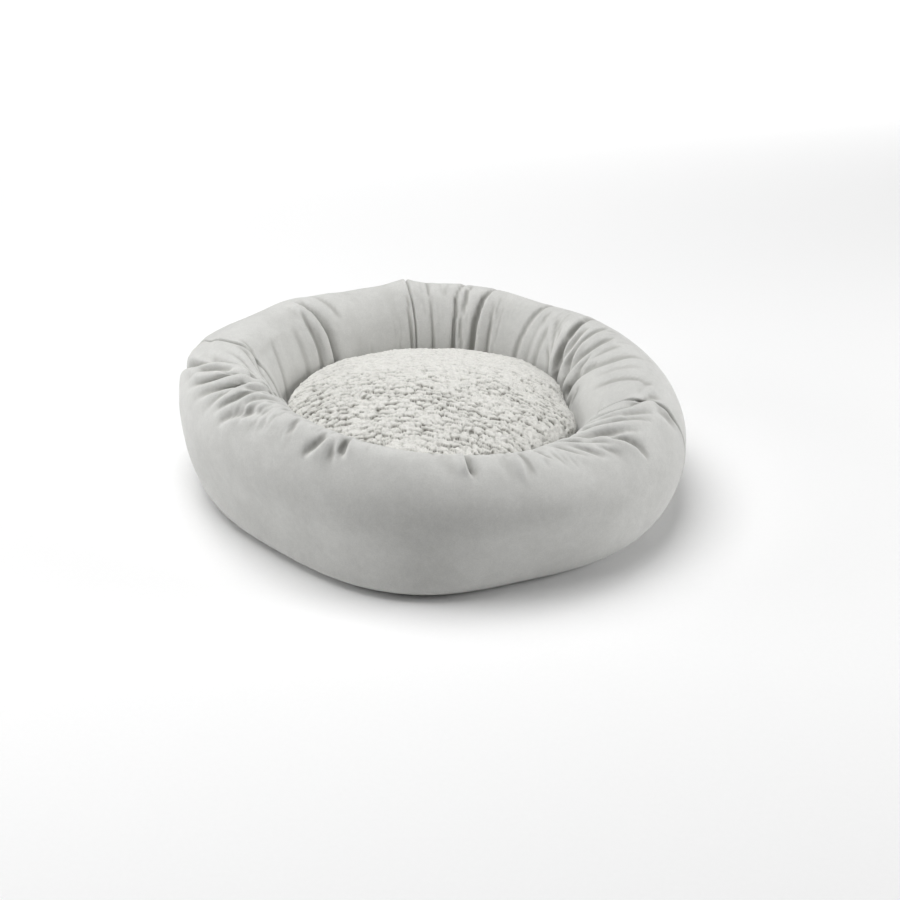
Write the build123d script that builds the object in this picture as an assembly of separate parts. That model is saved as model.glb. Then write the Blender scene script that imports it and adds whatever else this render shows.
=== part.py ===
from build123d import *
import os

# Round pet bed: a stuffed ring on a flat base, with a lift-out cushion in its well.
# Millimetres. Origin on the floor at the bed's centre, +Z up, the open front of the
# bed towards -Y. The cushion lifts along +Z; its zip closes along +X.

# Whole bed
bed_diameter = 500.0
rim_height = 145.0
bolster_width = 105.0
widest_height = 68.0
base_seam_tuck = 28.0
inner_seam_tuck = 13.0

# Fabrics and fillings
cover_fabric = 1.2
base_fabric = 1.2
floor_fabric = 1.2
liner_fabric = 0.8
sherpa_pile = 6.0
wadding_thickness = 11.6
elastic_width = 6.0
elastic_thickness = 1.0

# Where the bolster cover's panels are sewn together, counter-clockwise from +X
right_seam_angle = 346.0
back_seam_angle = 97.0
left_seam_angle = 165.0

# Cushion
cushion_side_clearance = 1.5
cushion_rest_clearance = 0.5
cushion_height = 93.5
cushion_seam_height = 45.0
cushion_side_height = 70.0
cushion_shoulder_rise = 15.5
cushion_shoulder_width = 30.0
cushion_corner_width = 25.0

# Zip across the underside of the cushion
zip_offset = 30.0
zip_end_margin = 4.0
tape_width = 12.0
tape_thickness = 0.6
coil_gap = 1.4
coil_width = 2.2
coil_height = 1.8
stop_length = 3.0
stop_overhang = 0.2
slider_length = 11.0
slider_width = 9.0
slider_plate = 1.2
slider_flange = 1.1
slider_post_thickness = 0.8
slider_post_length = 3.0
bridge_width = 2.0
bridge_length = 8.4
bridge_leg = 1.2
bridge_bar = 0.6
pull_thickness = 0.8
pull_width = 6.0
pull_arm = 1.0
pull_crossbar = 2.0
pull_window_length = 5.0
pull_length = 25.0
zip_clearance = 0.4
bridge_clearance = 0.1
end_clearance = 3.0
stop_clearance = 0.5
recess_side_clearance = 2.5

# Care label in the base seam
label_angle = 60.0
label_width = 30.0
label_length = 22.0
label_thickness = 0.5
label_lift = 0.3
label_root = 8.0

# Radii and heights that follow from the sizes above
outer_radius = bed_diameter / 2
well_radius = outer_radius - bolster_width
crest_radius = (outer_radius + well_radius) / 2
base_seam_radius = outer_radius - base_seam_tuck
inner_seam_radius = well_radius + inner_seam_tuck
floor_radius = inner_seam_radius + elastic_width
wadding_top = base_fabric + wadding_thickness
floor_top = wadding_top + floor_fabric
base_top = base_fabric

cushion_bottom = floor_top + cushion_rest_clearance
cushion_radius = well_radius - cushion_side_clearance
cushion_flat_radius = cushion_radius - cushion_corner_width
cushion_seam_z = cushion_bottom + cushion_seam_height

# Zip heights, downwards from the tapes' underside
coil_bottom = coil_height
plate_top = coil_bottom + zip_clearance
plate_bottom = plate_top + slider_plate
pull_top = plate_bottom + bridge_clearance
pull_bottom = pull_top + pull_thickness
bridge_top = pull_bottom + bridge_clearance
bridge_bottom = bridge_top + bridge_bar
tape_z = cushion_bottom + bridge_bottom + zip_clearance
pocket_height = tape_thickness + zip_clearance + slider_plate + zip_clearance

# Zip places along X, from the ends of its recess
tape_reach = coil_gap / 2 + tape_width
recess_half_width = slider_width / 2 + recess_side_clearance
pocket_half_width = slider_width / 2 + zip_clearance
recess_half_length = (
    cushion_flat_radius**2 - (zip_offset + tape_reach) ** 2
) ** 0.5 - zip_end_margin
pull_reach = pull_length - pull_crossbar / 2
top_stop_x = recess_half_length - end_clearance - stop_length
slider_rest_x = top_stop_x - stop_clearance - slider_length / 2
slider_open_x = -recess_half_length + end_clearance + pull_reach
bottom_stop_x = slider_open_x - slider_length / 2 - stop_clearance
zip_travel = slider_rest_x - slider_open_x


def spin(edges, sweep=360.0):
    """Turn a closed outline, drawn as radius and height, about the Z axis."""
    return revolve(Plane.XZ * make_face(edges), Axis.Z, sweep)


def disc(radius, low, high):
    """A flat round layer between two heights."""
    return Pos(0, 0, (low + high) / 2) * Cylinder(radius, high - low)


def block(x_low, x_high, y_low, y_high, z_low, z_high):
    """A box given by its two ends along each axis."""
    centre = Pos((x_low + x_high) / 2, (y_low + y_high) / 2, (z_low + z_high) / 2)
    return centre * Box(x_high - x_low, y_high - y_low, z_high - z_low)


def zip_block(x_low, x_high, y_low, y_high, down_low, down_high):
    """A box measured from the zip's centre line, and down from its tapes."""
    return block(
        x_low,
        x_high,
        zip_offset + y_low,
        zip_offset + y_high,
        tape_z - down_high,
        tape_z - down_low,
    )


def quarter(radius, height, width, rise, start):
    """A quarter of an ellipse about a centre, counter-clockwise from an angle."""
    return EllipticalCenterArc((radius, height), width, rise, start, arc_size=90.0)


# Bolster


def bolster_skin(inset):
    """The bolster's curved outline from its base seam over the crest to its inner seam."""
    half = bolster_width / 2 - inset
    crest = rim_height - widest_height - inset
    outer_drop = widest_height - base_top - inset
    inner_drop = widest_height - floor_top - inset
    return [
        quarter(base_seam_radius, widest_height, base_seam_tuck - inset, outer_drop, 270),
        quarter(crest_radius, widest_height, half, crest, 0),
        quarter(crest_radius, widest_height, half, crest, 90),
        quarter(inner_seam_radius, widest_height, inner_seam_tuck - inset, inner_drop, 180),
    ]


def bolster_panel(start, end):
    """One panel of the bolster cover, between two of its cross seams."""
    outside = bolster_skin(0)
    inside = bolster_skin(cover_fabric)
    base_edge = Line(outside[0] @ 0, inside[0] @ 0)
    inner_edge = Line(outside[3] @ 1, inside[3] @ 1)
    shell = spin([*outside, *inside, base_edge, inner_edge], end - start)
    return Rot(0, 0, start) * shell


def bolster_panel_front():
    return bolster_panel(left_seam_angle, right_seam_angle)


def bolster_panel_back_left():
    return bolster_panel(back_seam_angle, left_seam_angle)


def bolster_panel_back_right():
    return bolster_panel(right_seam_angle, 360 + back_seam_angle)


def bolster_fill():
    """Fibre ring that fills the cover and stands on the base fabric."""
    skin = bolster_skin(cover_fabric)
    base_edge = skin[0] @ 0
    inner_edge = skin[3] @ 1
    walls = Polyline(
        inner_edge,
        (floor_radius, inner_edge.Y),
        (floor_radius, base_top),
        (base_seam_radius, base_top),
        base_edge,
    )
    return spin([*skin, *walls.edges()])


def inner_seam_elastic():
    """Flat elastic sewn round the inner seam, which gathers the cover."""
    band = disc(floor_radius, floor_top, floor_top + elastic_thickness)
    return band - disc(inner_seam_radius, floor_top, floor_top + elastic_thickness)


# Base and well


def base_panel():
    return disc(base_seam_radius, 0, base_top)


def base_wadding():
    return disc(floor_radius, base_top, wadding_top)


def floor_panel():
    return disc(floor_radius, wadding_top, floor_top)


def care_label():
    """Blank woven label that stands out of the base seam at the back."""
    tab = block(
        base_seam_radius - label_root,
        base_seam_radius + label_length,
        -label_width / 2,
        label_width / 2,
        label_lift,
        label_lift + label_thickness,
    )
    return Rot(0, 0, label_angle) * tab - base_panel()


# Cushion


def cushion_outline(inset):
    """The whole cushion's form, drawn in by an inset."""
    shoulder = cushion_radius - cushion_shoulder_width
    shoulder_z = cushion_bottom + cushion_side_height + cushion_shoulder_rise - inset
    side_z = cushion_bottom + cushion_side_height
    bottom_z = cushion_bottom + inset
    top_z = cushion_bottom + cushion_height - inset
    corner = quarter(
        cushion_flat_radius,
        cushion_seam_z,
        cushion_corner_width - inset,
        cushion_seam_height - inset,
        270,
    )
    over = quarter(
        shoulder, side_z, cushion_shoulder_width - inset, cushion_shoulder_rise - inset, 0
    )
    return spin(
        [
            Line((0, bottom_z), (cushion_flat_radius, bottom_z)),
            corner,
            Line((cushion_radius - inset, cushion_seam_z), (cushion_radius - inset, side_z)),
            over,
            TangentArc([(0, top_z), (shoulder, shoulder_z)], tangent=(1, 0)),
            Line((0, top_z), (0, bottom_z)),
        ]
    )


def zip_recess(side_wall, roof_wall):
    """Room for the zip: a channel, the tapes' slot and a pocket over the slider."""
    length = recess_half_length + side_wall
    half = recess_half_width + side_wall
    slot = tape_reach + roof_wall
    pocket = pocket_half_width + roof_wall
    channel = block(
        -length, length, zip_offset - half, zip_offset + half, cushion_bottom, tape_z
    )
    slot_top = -tape_thickness - roof_wall
    pocket_top = -pocket_height - roof_wall
    slot_room = zip_block(-length, length, -slot, slot, slot_top, 0)
    pocket_room = zip_block(-length, length, -pocket, pocket, pocket_top, 0)
    return channel + slot_room + pocket_room


def cushion_layer(top_inset, base_inset, step_z):
    """The cushion's form with one inset over its side seam and another under it."""
    tall = cushion_bottom + cushion_height
    upper = cushion_outline(top_inset) & disc(cushion_radius, step_z, tall)
    lower = cushion_outline(base_inset) & disc(cushion_radius, cushion_bottom, step_z)
    return upper + lower


def liner_outside():
    room = cushion_layer(sherpa_pile, cover_fabric, cushion_seam_z)
    return room - zip_recess(cover_fabric, 0)


def liner_inside():
    room = cushion_layer(
        sherpa_pile + liner_fabric, cover_fabric + liner_fabric, cushion_seam_z - liner_fabric
    )
    return room - zip_recess(cover_fabric + liner_fabric, liner_fabric)


def cushion_top_panel():
    """Sherpa panel over the top and down to the cushion's side seam."""
    top = cushion_bottom + cushion_height
    room = cushion_layer(sherpa_pile, cover_fabric, cushion_seam_z)
    return (cushion_outline(0) - room) & disc(cushion_radius, cushion_seam_z, top)


def cushion_base_panel(side):
    """Half of the cushion's underside, up to the zip's centre line on one side of it."""
    under = cushion_outline(0) & disc(cushion_radius, cushion_bottom, cushion_seam_z)
    room = cushion_layer(sherpa_pile, cover_fabric, cushion_seam_z)
    skin = under - (room - zip_recess(cover_fabric, 0)) - zip_recess(0, 0)
    slot = zip_block(
        -recess_half_length - cover_fabric,
        recess_half_length + cover_fabric,
        -tape_reach,
        tape_reach,
        -pocket_height,
        0,
    )
    far = cushion_radius * 2
    y_low, y_high = sorted((zip_offset, zip_offset + side * far))
    return (skin - slot) & block(-far, far, y_low, y_high, 0, far)


def cushion_base_panel_front():
    return cushion_base_panel(-1)


def cushion_base_panel_rear():
    return cushion_base_panel(1)


def cushion_liner():
    return liner_outside() - liner_inside()


def cushion_fill():
    return liner_inside()


# Zip


def beside_gap(side, near, far):
    """The two limits of a strip that lies on one side of the zip's centre line."""
    return sorted((side * near, side * far))


def zip_tape(side):
    y_low, y_high = beside_gap(side, coil_gap / 2, tape_reach)
    reach = recess_half_length + cover_fabric
    return zip_block(-reach, reach, y_low, y_high, -tape_thickness, 0)


def zip_tape_front():
    return zip_tape(-1)


def zip_tape_rear():
    return zip_tape(1)


def zip_coil(side):
    y_low, y_high = beside_gap(side, coil_gap / 2, coil_gap / 2 + coil_width)
    return zip_block(bottom_stop_x, top_stop_x, y_low, y_high, 0, coil_height)


def zip_coil_front():
    return zip_coil(-1)


def zip_coil_rear():
    return zip_coil(1)


def zip_top_stops():
    """One crimped stop at the closed end of each coil."""
    near = coil_gap / 2
    far = near + coil_width + stop_overhang
    drop = coil_height + stop_overhang
    stops = Part()
    for side in (-1, 1):
        y_low, y_high = beside_gap(side, near, far)
        stops += zip_block(top_stop_x, top_stop_x + stop_length, y_low, y_high, 0, drop)
    return stops


def zip_bottom_stop():
    """One staple over both coils at the zip's open end."""
    half = coil_gap / 2 + coil_width + stop_overhang
    drop = coil_height + stop_overhang
    return zip_block(bottom_stop_x - stop_length, bottom_stop_x, -half, half, 0, drop)


def zip_slider():
    """Two plates joined by a post, with side flanges and a bridge for the pull."""
    near = slider_rest_x - slider_length / 2
    far = slider_rest_x + slider_length / 2
    half = slider_width / 2
    lower = zip_block(near, far, -half, half, plate_top, plate_bottom)
    upper_low = -tape_thickness - zip_clearance
    upper = zip_block(near, far, -half, half, upper_low - slider_plate, upper_low)
    post_half = slider_post_thickness / 2
    post = zip_block(far - slider_post_length, far, -post_half, post_half, upper_low, plate_top)
    body = lower + upper + post
    for side in (-1, 1):
        y_low, y_high = beside_gap(side, half - slider_flange, half)
        body += zip_block(near, far, y_low, y_high, zip_clearance, plate_top)
    arch_half = bridge_length / 2
    rail = bridge_width / 2
    centre = slider_rest_x
    arch = zip_block(
        centre - arch_half, centre + arch_half, -rail, rail, plate_bottom, bridge_bottom
    )
    hole = zip_block(
        centre - arch_half + bridge_leg,
        centre + arch_half - bridge_leg,
        -rail,
        rail,
        plate_bottom,
        bridge_top,
    )
    return body + (arch - hole)


def zip_pull():
    """Flat tab whose crossbar runs under the slider's bridge."""
    half = pull_width / 2
    crossbar_far = slider_rest_x + pull_crossbar / 2
    tip = crossbar_far - pull_length
    plate = zip_block(tip, crossbar_far, -half, half, pull_top, pull_bottom)
    window_far = slider_rest_x - pull_crossbar / 2
    window_half = half - pull_arm
    window = zip_block(
        window_far - pull_window_length,
        window_far,
        -window_half,
        window_half,
        pull_top,
        pull_bottom,
    )
    return plate - window


SUB_PARTS = [
    base_panel,
    base_wadding,
    floor_panel,
    bolster_panel_front,
    bolster_panel_back_left,
    bolster_panel_back_right,
    bolster_fill,
    inner_seam_elastic,
    care_label,
    cushion_top_panel,
    cushion_base_panel_front,
    cushion_base_panel_rear,
    cushion_liner,
    cushion_fill,
    zip_tape_front,
    zip_tape_rear,
    zip_coil_front,
    zip_coil_rear,
    zip_top_stops,
    zip_bottom_stop,
    zip_slider,
    zip_pull,
]

os.makedirs("parts", exist_ok=True)
for sub_part in SUB_PARTS:
    export_step(sub_part(), f"parts/{sub_part.__name__}.step")
print(f"zip travel {zip_travel:.1f} mm, slider at rest x {slider_rest_x:.1f} mm")
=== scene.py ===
"""Round velour pet bed: a gathered, stuffed ring and the fleece-topped cushion that lifts out of it.

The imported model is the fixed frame, and its pieces give the places and sizes used here. Shapes are
worked out in millimetres and handed over in metres. The ring's cover is a cloth simulation of this
script's own: a sheet with more cloth than the ring needs, held by its seams and pressed by its filling.
"""

import logging
import math
from dataclasses import dataclass, field
from enum import Enum
from typing import ClassVar

import bpy
import numpy as np
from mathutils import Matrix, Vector


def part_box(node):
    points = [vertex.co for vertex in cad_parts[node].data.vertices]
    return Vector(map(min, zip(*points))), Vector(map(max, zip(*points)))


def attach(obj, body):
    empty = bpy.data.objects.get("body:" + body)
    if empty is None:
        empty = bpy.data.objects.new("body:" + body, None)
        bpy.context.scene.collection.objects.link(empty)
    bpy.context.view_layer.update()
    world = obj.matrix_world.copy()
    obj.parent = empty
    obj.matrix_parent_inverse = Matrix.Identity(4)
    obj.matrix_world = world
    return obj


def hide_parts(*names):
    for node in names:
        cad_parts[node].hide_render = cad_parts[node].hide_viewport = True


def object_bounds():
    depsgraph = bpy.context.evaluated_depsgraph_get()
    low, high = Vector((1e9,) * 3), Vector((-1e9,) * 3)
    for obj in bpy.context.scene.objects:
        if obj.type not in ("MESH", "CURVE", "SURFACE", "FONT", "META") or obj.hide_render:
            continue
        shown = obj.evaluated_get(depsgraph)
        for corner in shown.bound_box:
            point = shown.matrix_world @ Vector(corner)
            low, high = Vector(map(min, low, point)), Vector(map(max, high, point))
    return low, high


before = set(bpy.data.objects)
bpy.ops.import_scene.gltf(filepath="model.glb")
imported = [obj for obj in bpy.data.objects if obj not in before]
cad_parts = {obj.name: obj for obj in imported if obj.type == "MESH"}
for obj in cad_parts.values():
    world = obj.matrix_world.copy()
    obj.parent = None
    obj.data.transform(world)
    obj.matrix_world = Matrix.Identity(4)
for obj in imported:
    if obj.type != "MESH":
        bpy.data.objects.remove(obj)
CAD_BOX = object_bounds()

MM = 0.001
ELASTIC_WIDTH = 6.0
Array = np.ndarray
Piece = bpy.types.Object
Tree = bpy.types.NodeTree
Node = bpy.types.Node
Socket = bpy.types.NodeSocket
Bumps = tuple[tuple[float, float, float], ...]  # each one an angle or count, and two measures
log = logging.getLogger("pet_bed")


class Body(Enum):
    """The bodies that pieces ride on."""

    BED = "bed"
    CUSHION = "cushion"


class Lie(Enum):
    """How the cloth lies at a fold."""

    GROOVE = "a groove between two even sides"
    LAP_OVER_RIGHT = "the side with the larger angle laps over the other"
    LAP_OVER_LEFT = "the side with the smaller angle laps over the other"
    RIDGE = "a raised line"


# Numbers and noise


def smooth(value: Array, low: float | Array, high: float | Array) -> Array:
    """Ease from 0 at low to 1 at high."""
    share = np.clip((value - low) / (high - low), 0, 1)
    return share * share * (3 - 2 * share)


def turn(degrees: Array) -> Array:
    """Bring an angle into -180..180 degrees."""
    return (degrees + 180) % 360 - 180


def bell(value: Array, width: float | Array) -> Array:
    """A soft bump of height 1 and this half width, where the value is 0."""
    return np.exp(-((value / width) ** 2))


def bumps(degrees: Array, places: Bumps) -> Array:
    """Add up soft bumps round the bed, each given by its angle, its half width and its height."""
    return sum(height * bell(turn(degrees - angle), width) for angle, width, height in places)


def box_mm(node: str) -> tuple[Vector, Vector]:
    """The low and high corners of a CAD node, in millimetres."""
    low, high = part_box(node)
    return low / MM, high / MM


def full_turn(count: int) -> Array:
    """Even angles round the bed, in radians."""
    return np.arange(count) / count * 2 * math.pi


def around_axis(radius: Array, angle: Array, height: Array) -> Array:
    """Points about the bed's axis."""
    return np.stack([radius * np.cos(angle), radius * np.sin(angle), height], -1)


def walked_along(radius: Array, height: Array) -> Array:
    """The distance along a section, at each of its points."""
    return np.concatenate([[0], np.cumsum(np.hypot(np.diff(radius), np.diff(height)))])


def waves(turned: Array, parts: Bumps) -> Array:
    """Add up waves round the bed, each given by its count and its cosine's and sine's heights."""
    return sum(even * np.cos(count * turned) + odd * np.sin(count * turned) for count, even, odd in parts)


def unit(vectors: Array) -> Array:
    """Scale vectors to length 1."""
    return vectors / np.maximum(np.linalg.norm(vectors, axis=-1, keepdims=True), 1e-9)


def lattice_noise(places: Array, size: float, seed: int) -> Array:
    """Smooth noise from -1 to 1.

    Args:
        places: points in the plane, in the last axis.
        size: width of one cell of the noise.
        seed: which noise.
    Returns:
        One value for each point.
    """
    table = np.random.default_rng(seed).uniform(-1, 1, (64, 64))
    scaled = places / size
    cell = np.floor(scaled).astype(int)
    part = scaled - cell
    part = part * part * (3 - 2 * part)
    x0, y0 = cell[..., 0] % 64, cell[..., 1] % 64
    x1, y1 = (x0 + 1) % 64, (y0 + 1) % 64
    low = table[x0, y0] * (1 - part[..., 0]) + table[x1, y0] * part[..., 0]
    high = table[x0, y1] * (1 - part[..., 0]) + table[x1, y1] * part[..., 0]
    return low * (1 - part[..., 1]) + high * part[..., 1]


def clump_distances(places: Array, cell: tuple[float, float], seed: int) -> tuple[Array, Array, Array]:
    """Distances, in cells, to the nearest and the next nearest of the clumps' centres.

    Args:
        places: points in the plane, in the last axis.
        cell: width and length of the ground that one clump has.
        seed: which scatter of clumps.
    Returns:
        The nearest and the next nearest distance of each point, and how far it lies behind the
        nearest centre.
    """
    centres = np.random.default_rng(seed).uniform(0.08, 0.92, (64, 64, 2))
    scaled = places / np.array(cell)
    home = np.floor(scaled).astype(int)
    nearest = np.full(scaled.shape[:-1], 9.0)
    following = nearest.copy()
    behind = nearest.copy()
    for across in (-1, 0, 1):
        for along in (-1, 0, 1):
            other = home + np.array((across, along))
            centre = other + centres[other[..., 0] % 64, other[..., 1] % 64]
            distance = np.linalg.norm(scaled - centre, axis=-1)
            behind = np.where(distance < nearest, (scaled - centre)[..., 1], behind)
            following = np.minimum(following, np.maximum(nearest, distance))
            nearest = np.minimum(nearest, distance)
    return nearest, following, behind


# Meshes


def grid_faces(columns: int, rows: int, closed: bool = False, looped: bool = False) -> Array:
    """Quads of a grid whose points are numbered column by column.

    Args:
        columns: number of columns of points.
        rows: number of points in a column.
        closed: whether the last column joins the first.
        looped: whether the last row joins the first.
    Returns:
        One row of four point numbers for each quad.
    """
    column = np.arange(columns if closed else columns - 1)[:, None]
    row = np.arange(rows if looped else rows - 1)[None, :]
    after = (column + 1) % columns
    above = (row + 1) % rows
    corners = (column * rows + row, after * rows + row, after * rows + above, column * rows + above)
    return np.stack(corners, -1).reshape(-1, 4)


@dataclass
class Shape:
    """The points and faces of one piece, gathered from its parts, in millimetres."""

    points: list[Array] = field(default_factory=list)
    faces: list[list[int]] = field(default_factory=list)
    count: int = 0

    def add(self, points: Array, faces: Array) -> None:
        """Add a part, whose faces number its own points from 0."""
        flat = np.asarray(points, float).reshape(-1, 3)
        self.faces += (np.asarray(faces) + self.count).tolist()
        self.points.append(flat)
        self.count += len(flat)

    def add_cap(self, loop: list[int]) -> None:
        """Close a loop of points that are already in the shape."""
        self.faces.append(loop)

    def add_tube(self, line: Array, radius: float, sides: int) -> None:
        """Add a round tube along a line, with its ends closed.

        Args:
            line: the points that the tube's middle follows.
            radius: the tube's radius.
            sides: how many sides it has.
        """
        ahead = unit(np.gradient(line, axis=0))
        across = unit(np.cross(ahead, (0.0, 0.0, 1.0)) + (1e-6, 0, 0))
        above = np.cross(across, ahead)
        angle = full_turn(sides)
        ring = np.cos(angle)[:, None, None] * across + np.sin(angle)[:, None, None] * above
        start = self.count
        self.add(line + radius * ring, grid_faces(sides, len(line), closed=True))
        self.add_cap([start + side * len(line) for side in range(sides)])
        self.add_cap([start + side * len(line) + len(line) - 1 for side in reversed(range(sides))])

    def add_turned(self, points: Array) -> None:
        """Add a body turned from an outline, and close it at both ends.

        Args:
            points: its points, by column and row.
        """
        columns, rows = points.shape[:2]
        start = self.count
        self.add(points, grid_faces(columns, rows, closed=True))
        self.add_cap([start + column * rows for column in reversed(range(columns))])
        self.add_cap([start + column * rows + rows - 1 for column in range(columns)])

    def piece(self, name: str) -> Piece:
        """Make the Blender object, in metres, with smooth shading.

        Args:
            name: the piece's name.
        Returns:
            The new object.
        """
        mesh = bpy.data.meshes.new(name)
        mesh.from_pydata((np.concatenate(self.points) * MM).tolist(), [], self.faces)
        mesh.polygons.foreach_set("use_smooth", [True] * len(mesh.polygons))
        made = bpy.data.objects.new(name, mesh)
        bpy.context.scene.collection.objects.link(made)
        return made


def add_attribute(piece: Piece, name: str, values: Array) -> None:
    """Store one number for each of a piece's points, for its material to read."""
    attribute = piece.data.attributes.new(name, "FLOAT", "POINT")
    attribute.data.foreach_set("value", np.asarray(values, np.float32).ravel())


def refine(piece: Piece) -> None:
    """Round a piece with one level of subdivision."""
    modifier = piece.modifiers.new("rounding", "SUBSURF")
    modifier.levels = modifier.render_levels = 1


# Finishes


def linear(colour: str) -> tuple[float, float, float, float]:
    """Turn an sRGB hex colour to linear RGBA."""
    shares = [int(colour[place : place + 2], 16) / 255 for place in (0, 2, 4)]
    red, green, blue = (s / 12.92 if s <= 0.04045 else ((s + 0.055) / 1.055) ** 2.4 for s in shares)
    return red, green, blue, 1.0


def add(
    tree: Tree,
    kind: str,
    settings: dict[str, object] | None = None,
    inputs: dict[str | int, object] | None = None,
) -> Node:
    """Add one shader node.

    Args:
        tree: the material's nodes.
        kind: the node's type.
        settings: its settings, by name.
        inputs: what goes into its sockets: another node's output, or a value.
    Returns:
        The new node.
    """
    node = tree.nodes.new(kind)
    for name, value in (settings or {}).items():
        setattr(node, name, value)
    for socket, value in (inputs or {}).items():
        if isinstance(value, Socket):
            tree.links.new(value, node.inputs[socket])
        else:
            node.inputs[socket].default_value = value
    return node


WAVE_FACTOR = 20  # a wave texture turns through this many radians in a unit of scaled length
MIX = {"data_type": "RGBA"}
TINT = {"data_type": "RGBA", "blend_type": "MULTIPLY"}


def per_metre(size_mm: float) -> float:
    """A noise texture's scale for spots of this size."""
    return 1 / (size_mm * MM)


def bands(spacing_mm: float) -> float:
    """A wave texture's scale for bands of this spacing."""
    return 2 * math.pi / WAVE_FACTOR / (spacing_mm * MM)


@dataclass(frozen=True)
class Finish:
    """A material: its common name with how its surface was made, its colour and its roughness."""

    name: str
    colour: str
    roughness: float
    sockets: ClassVar[dict[str, float]] = {}

    def material(self) -> bpy.types.Material:
        """The Blender material, made the first time that it is asked for."""
        known = bpy.data.materials.get(self.name)
        if known:
            return known
        material = bpy.data.materials.new(self.name)
        material.use_nodes = True
        shader = material.node_tree.nodes["Principled BSDF"]
        for socket, value in ({"Roughness": self.roughness} | self.sockets).items():
            shader.inputs[socket].default_value = value
        place = add(material.node_tree, "ShaderNodeTexCoord").outputs["Object"]
        self.dress(material.node_tree, shader, place)
        return material

    def dress(self, tree: Tree, shader: Node, place: Socket) -> None:
        """Add the finish's own nodes.

        Args:
            tree: the material's nodes.
            shader: its shader.
            place: the socket that gives each point's place, in metres.
        """
        raise NotImplementedError

    def connect(self, tree: Tree, shader: Node, colour: Socket, height: Socket,
                depth_mm: float, strength: float) -> None:
        """Give the shader its colour and its relief.

        Args:
            tree: the material's nodes.
            shader: its shader.
            colour: the colour's socket.
            height: the relief's socket, from 0 to 1.
            depth_mm: how deep the relief is.
            strength: how strongly it shows.
        """
        tree.links.new(colour, shader.inputs["Base Color"])
        relief = add(tree, "ShaderNodeBump",
                     inputs={"Height": height, "Distance": depth_mm * MM, "Strength": strength})
        tree.links.new(relief.outputs["Normal"], shader.inputs["Normal"])


@dataclass(frozen=True)
class Velour(Finish):
    """Polyester velour, knitted, sheared and brushed. Its short pile gives a matt face that
    brightens where it turns away, and soft patches where the pile leans. Folds and seams get painted shade."""

    brushed: str = "cdcdca"
    shadow: str = "8d8c87"
    patch_mm: float = 42.0
    pile_mm: float = 1.3  # real pile is 0.2 mm, drawn coarser so that it shows
    streak_mm: float = 7.0
    sockets: ClassVar[dict[str, float]] = {
        "Sheen Weight": 0.30, "Sheen Roughness": 0.42, "Specular IOR Level": 0.2}

    def dress(self, tree: Tree, shader: Node, place: Socket) -> None:
        """Add the brushed patches, the pile's grain and the painted shade in folds and seams."""
        patches = add(tree, "ShaderNodeTexNoise", inputs={
            "Vector": place, "Scale": per_metre(self.patch_mm), "Detail": 4.0, "Roughness": 0.6})
        streaks = add(tree, "ShaderNodeTexNoise", inputs={
            "Vector": place, "Scale": per_metre(self.streak_mm), "Detail": 2.0, "Distortion": 0.6})
        pile = add(tree, "ShaderNodeTexNoise", inputs={
            "Vector": place, "Scale": per_metre(self.pile_mm), "Detail": 3.0, "Roughness": 0.7})
        # painted shade: this attribute says how much of the shadow colour is painted into folds, seam tucks
        # and the zip's groove
        painted_fold_shade = add(tree, "ShaderNodeAttribute", {"attribute_name": "painted_fold_shade"}).outputs["Fac"]
        lean = add(tree, "ShaderNodeMapRange", inputs={
            "Value": patches.outputs["Fac"], "From Min": 0.36, "From Max": 0.64}).outputs["Result"]
        colour = add(tree, "ShaderNodeMix", MIX,
                     {0: lean, 6: linear(self.colour), 7: linear(self.brushed)}).outputs[2]
        for pattern, low, high, darkest, brightest in (
                (pile, 0.3, 0.7, 0.93, 1.05), (streaks, 0.35, 0.65, 0.975, 1.02)):
            shade = add(tree, "ShaderNodeMapRange", inputs={
                "Value": pattern.outputs["Fac"], "From Min": low, "From Max": high,
                "To Min": darkest, "To Max": brightest}).outputs["Result"]
            colour = add(tree, "ShaderNodeMix", TINT, {0: 1.0, 6: colour, 7: shade}).outputs[2]
        colour = add(tree, "ShaderNodeMix", MIX, {0: painted_fold_shade, 6: colour, 7: linear(self.shadow)}).outputs[2]
        self.connect(tree, shader, colour, pile.outputs["Fac"], 0.35, 0.35)


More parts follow.
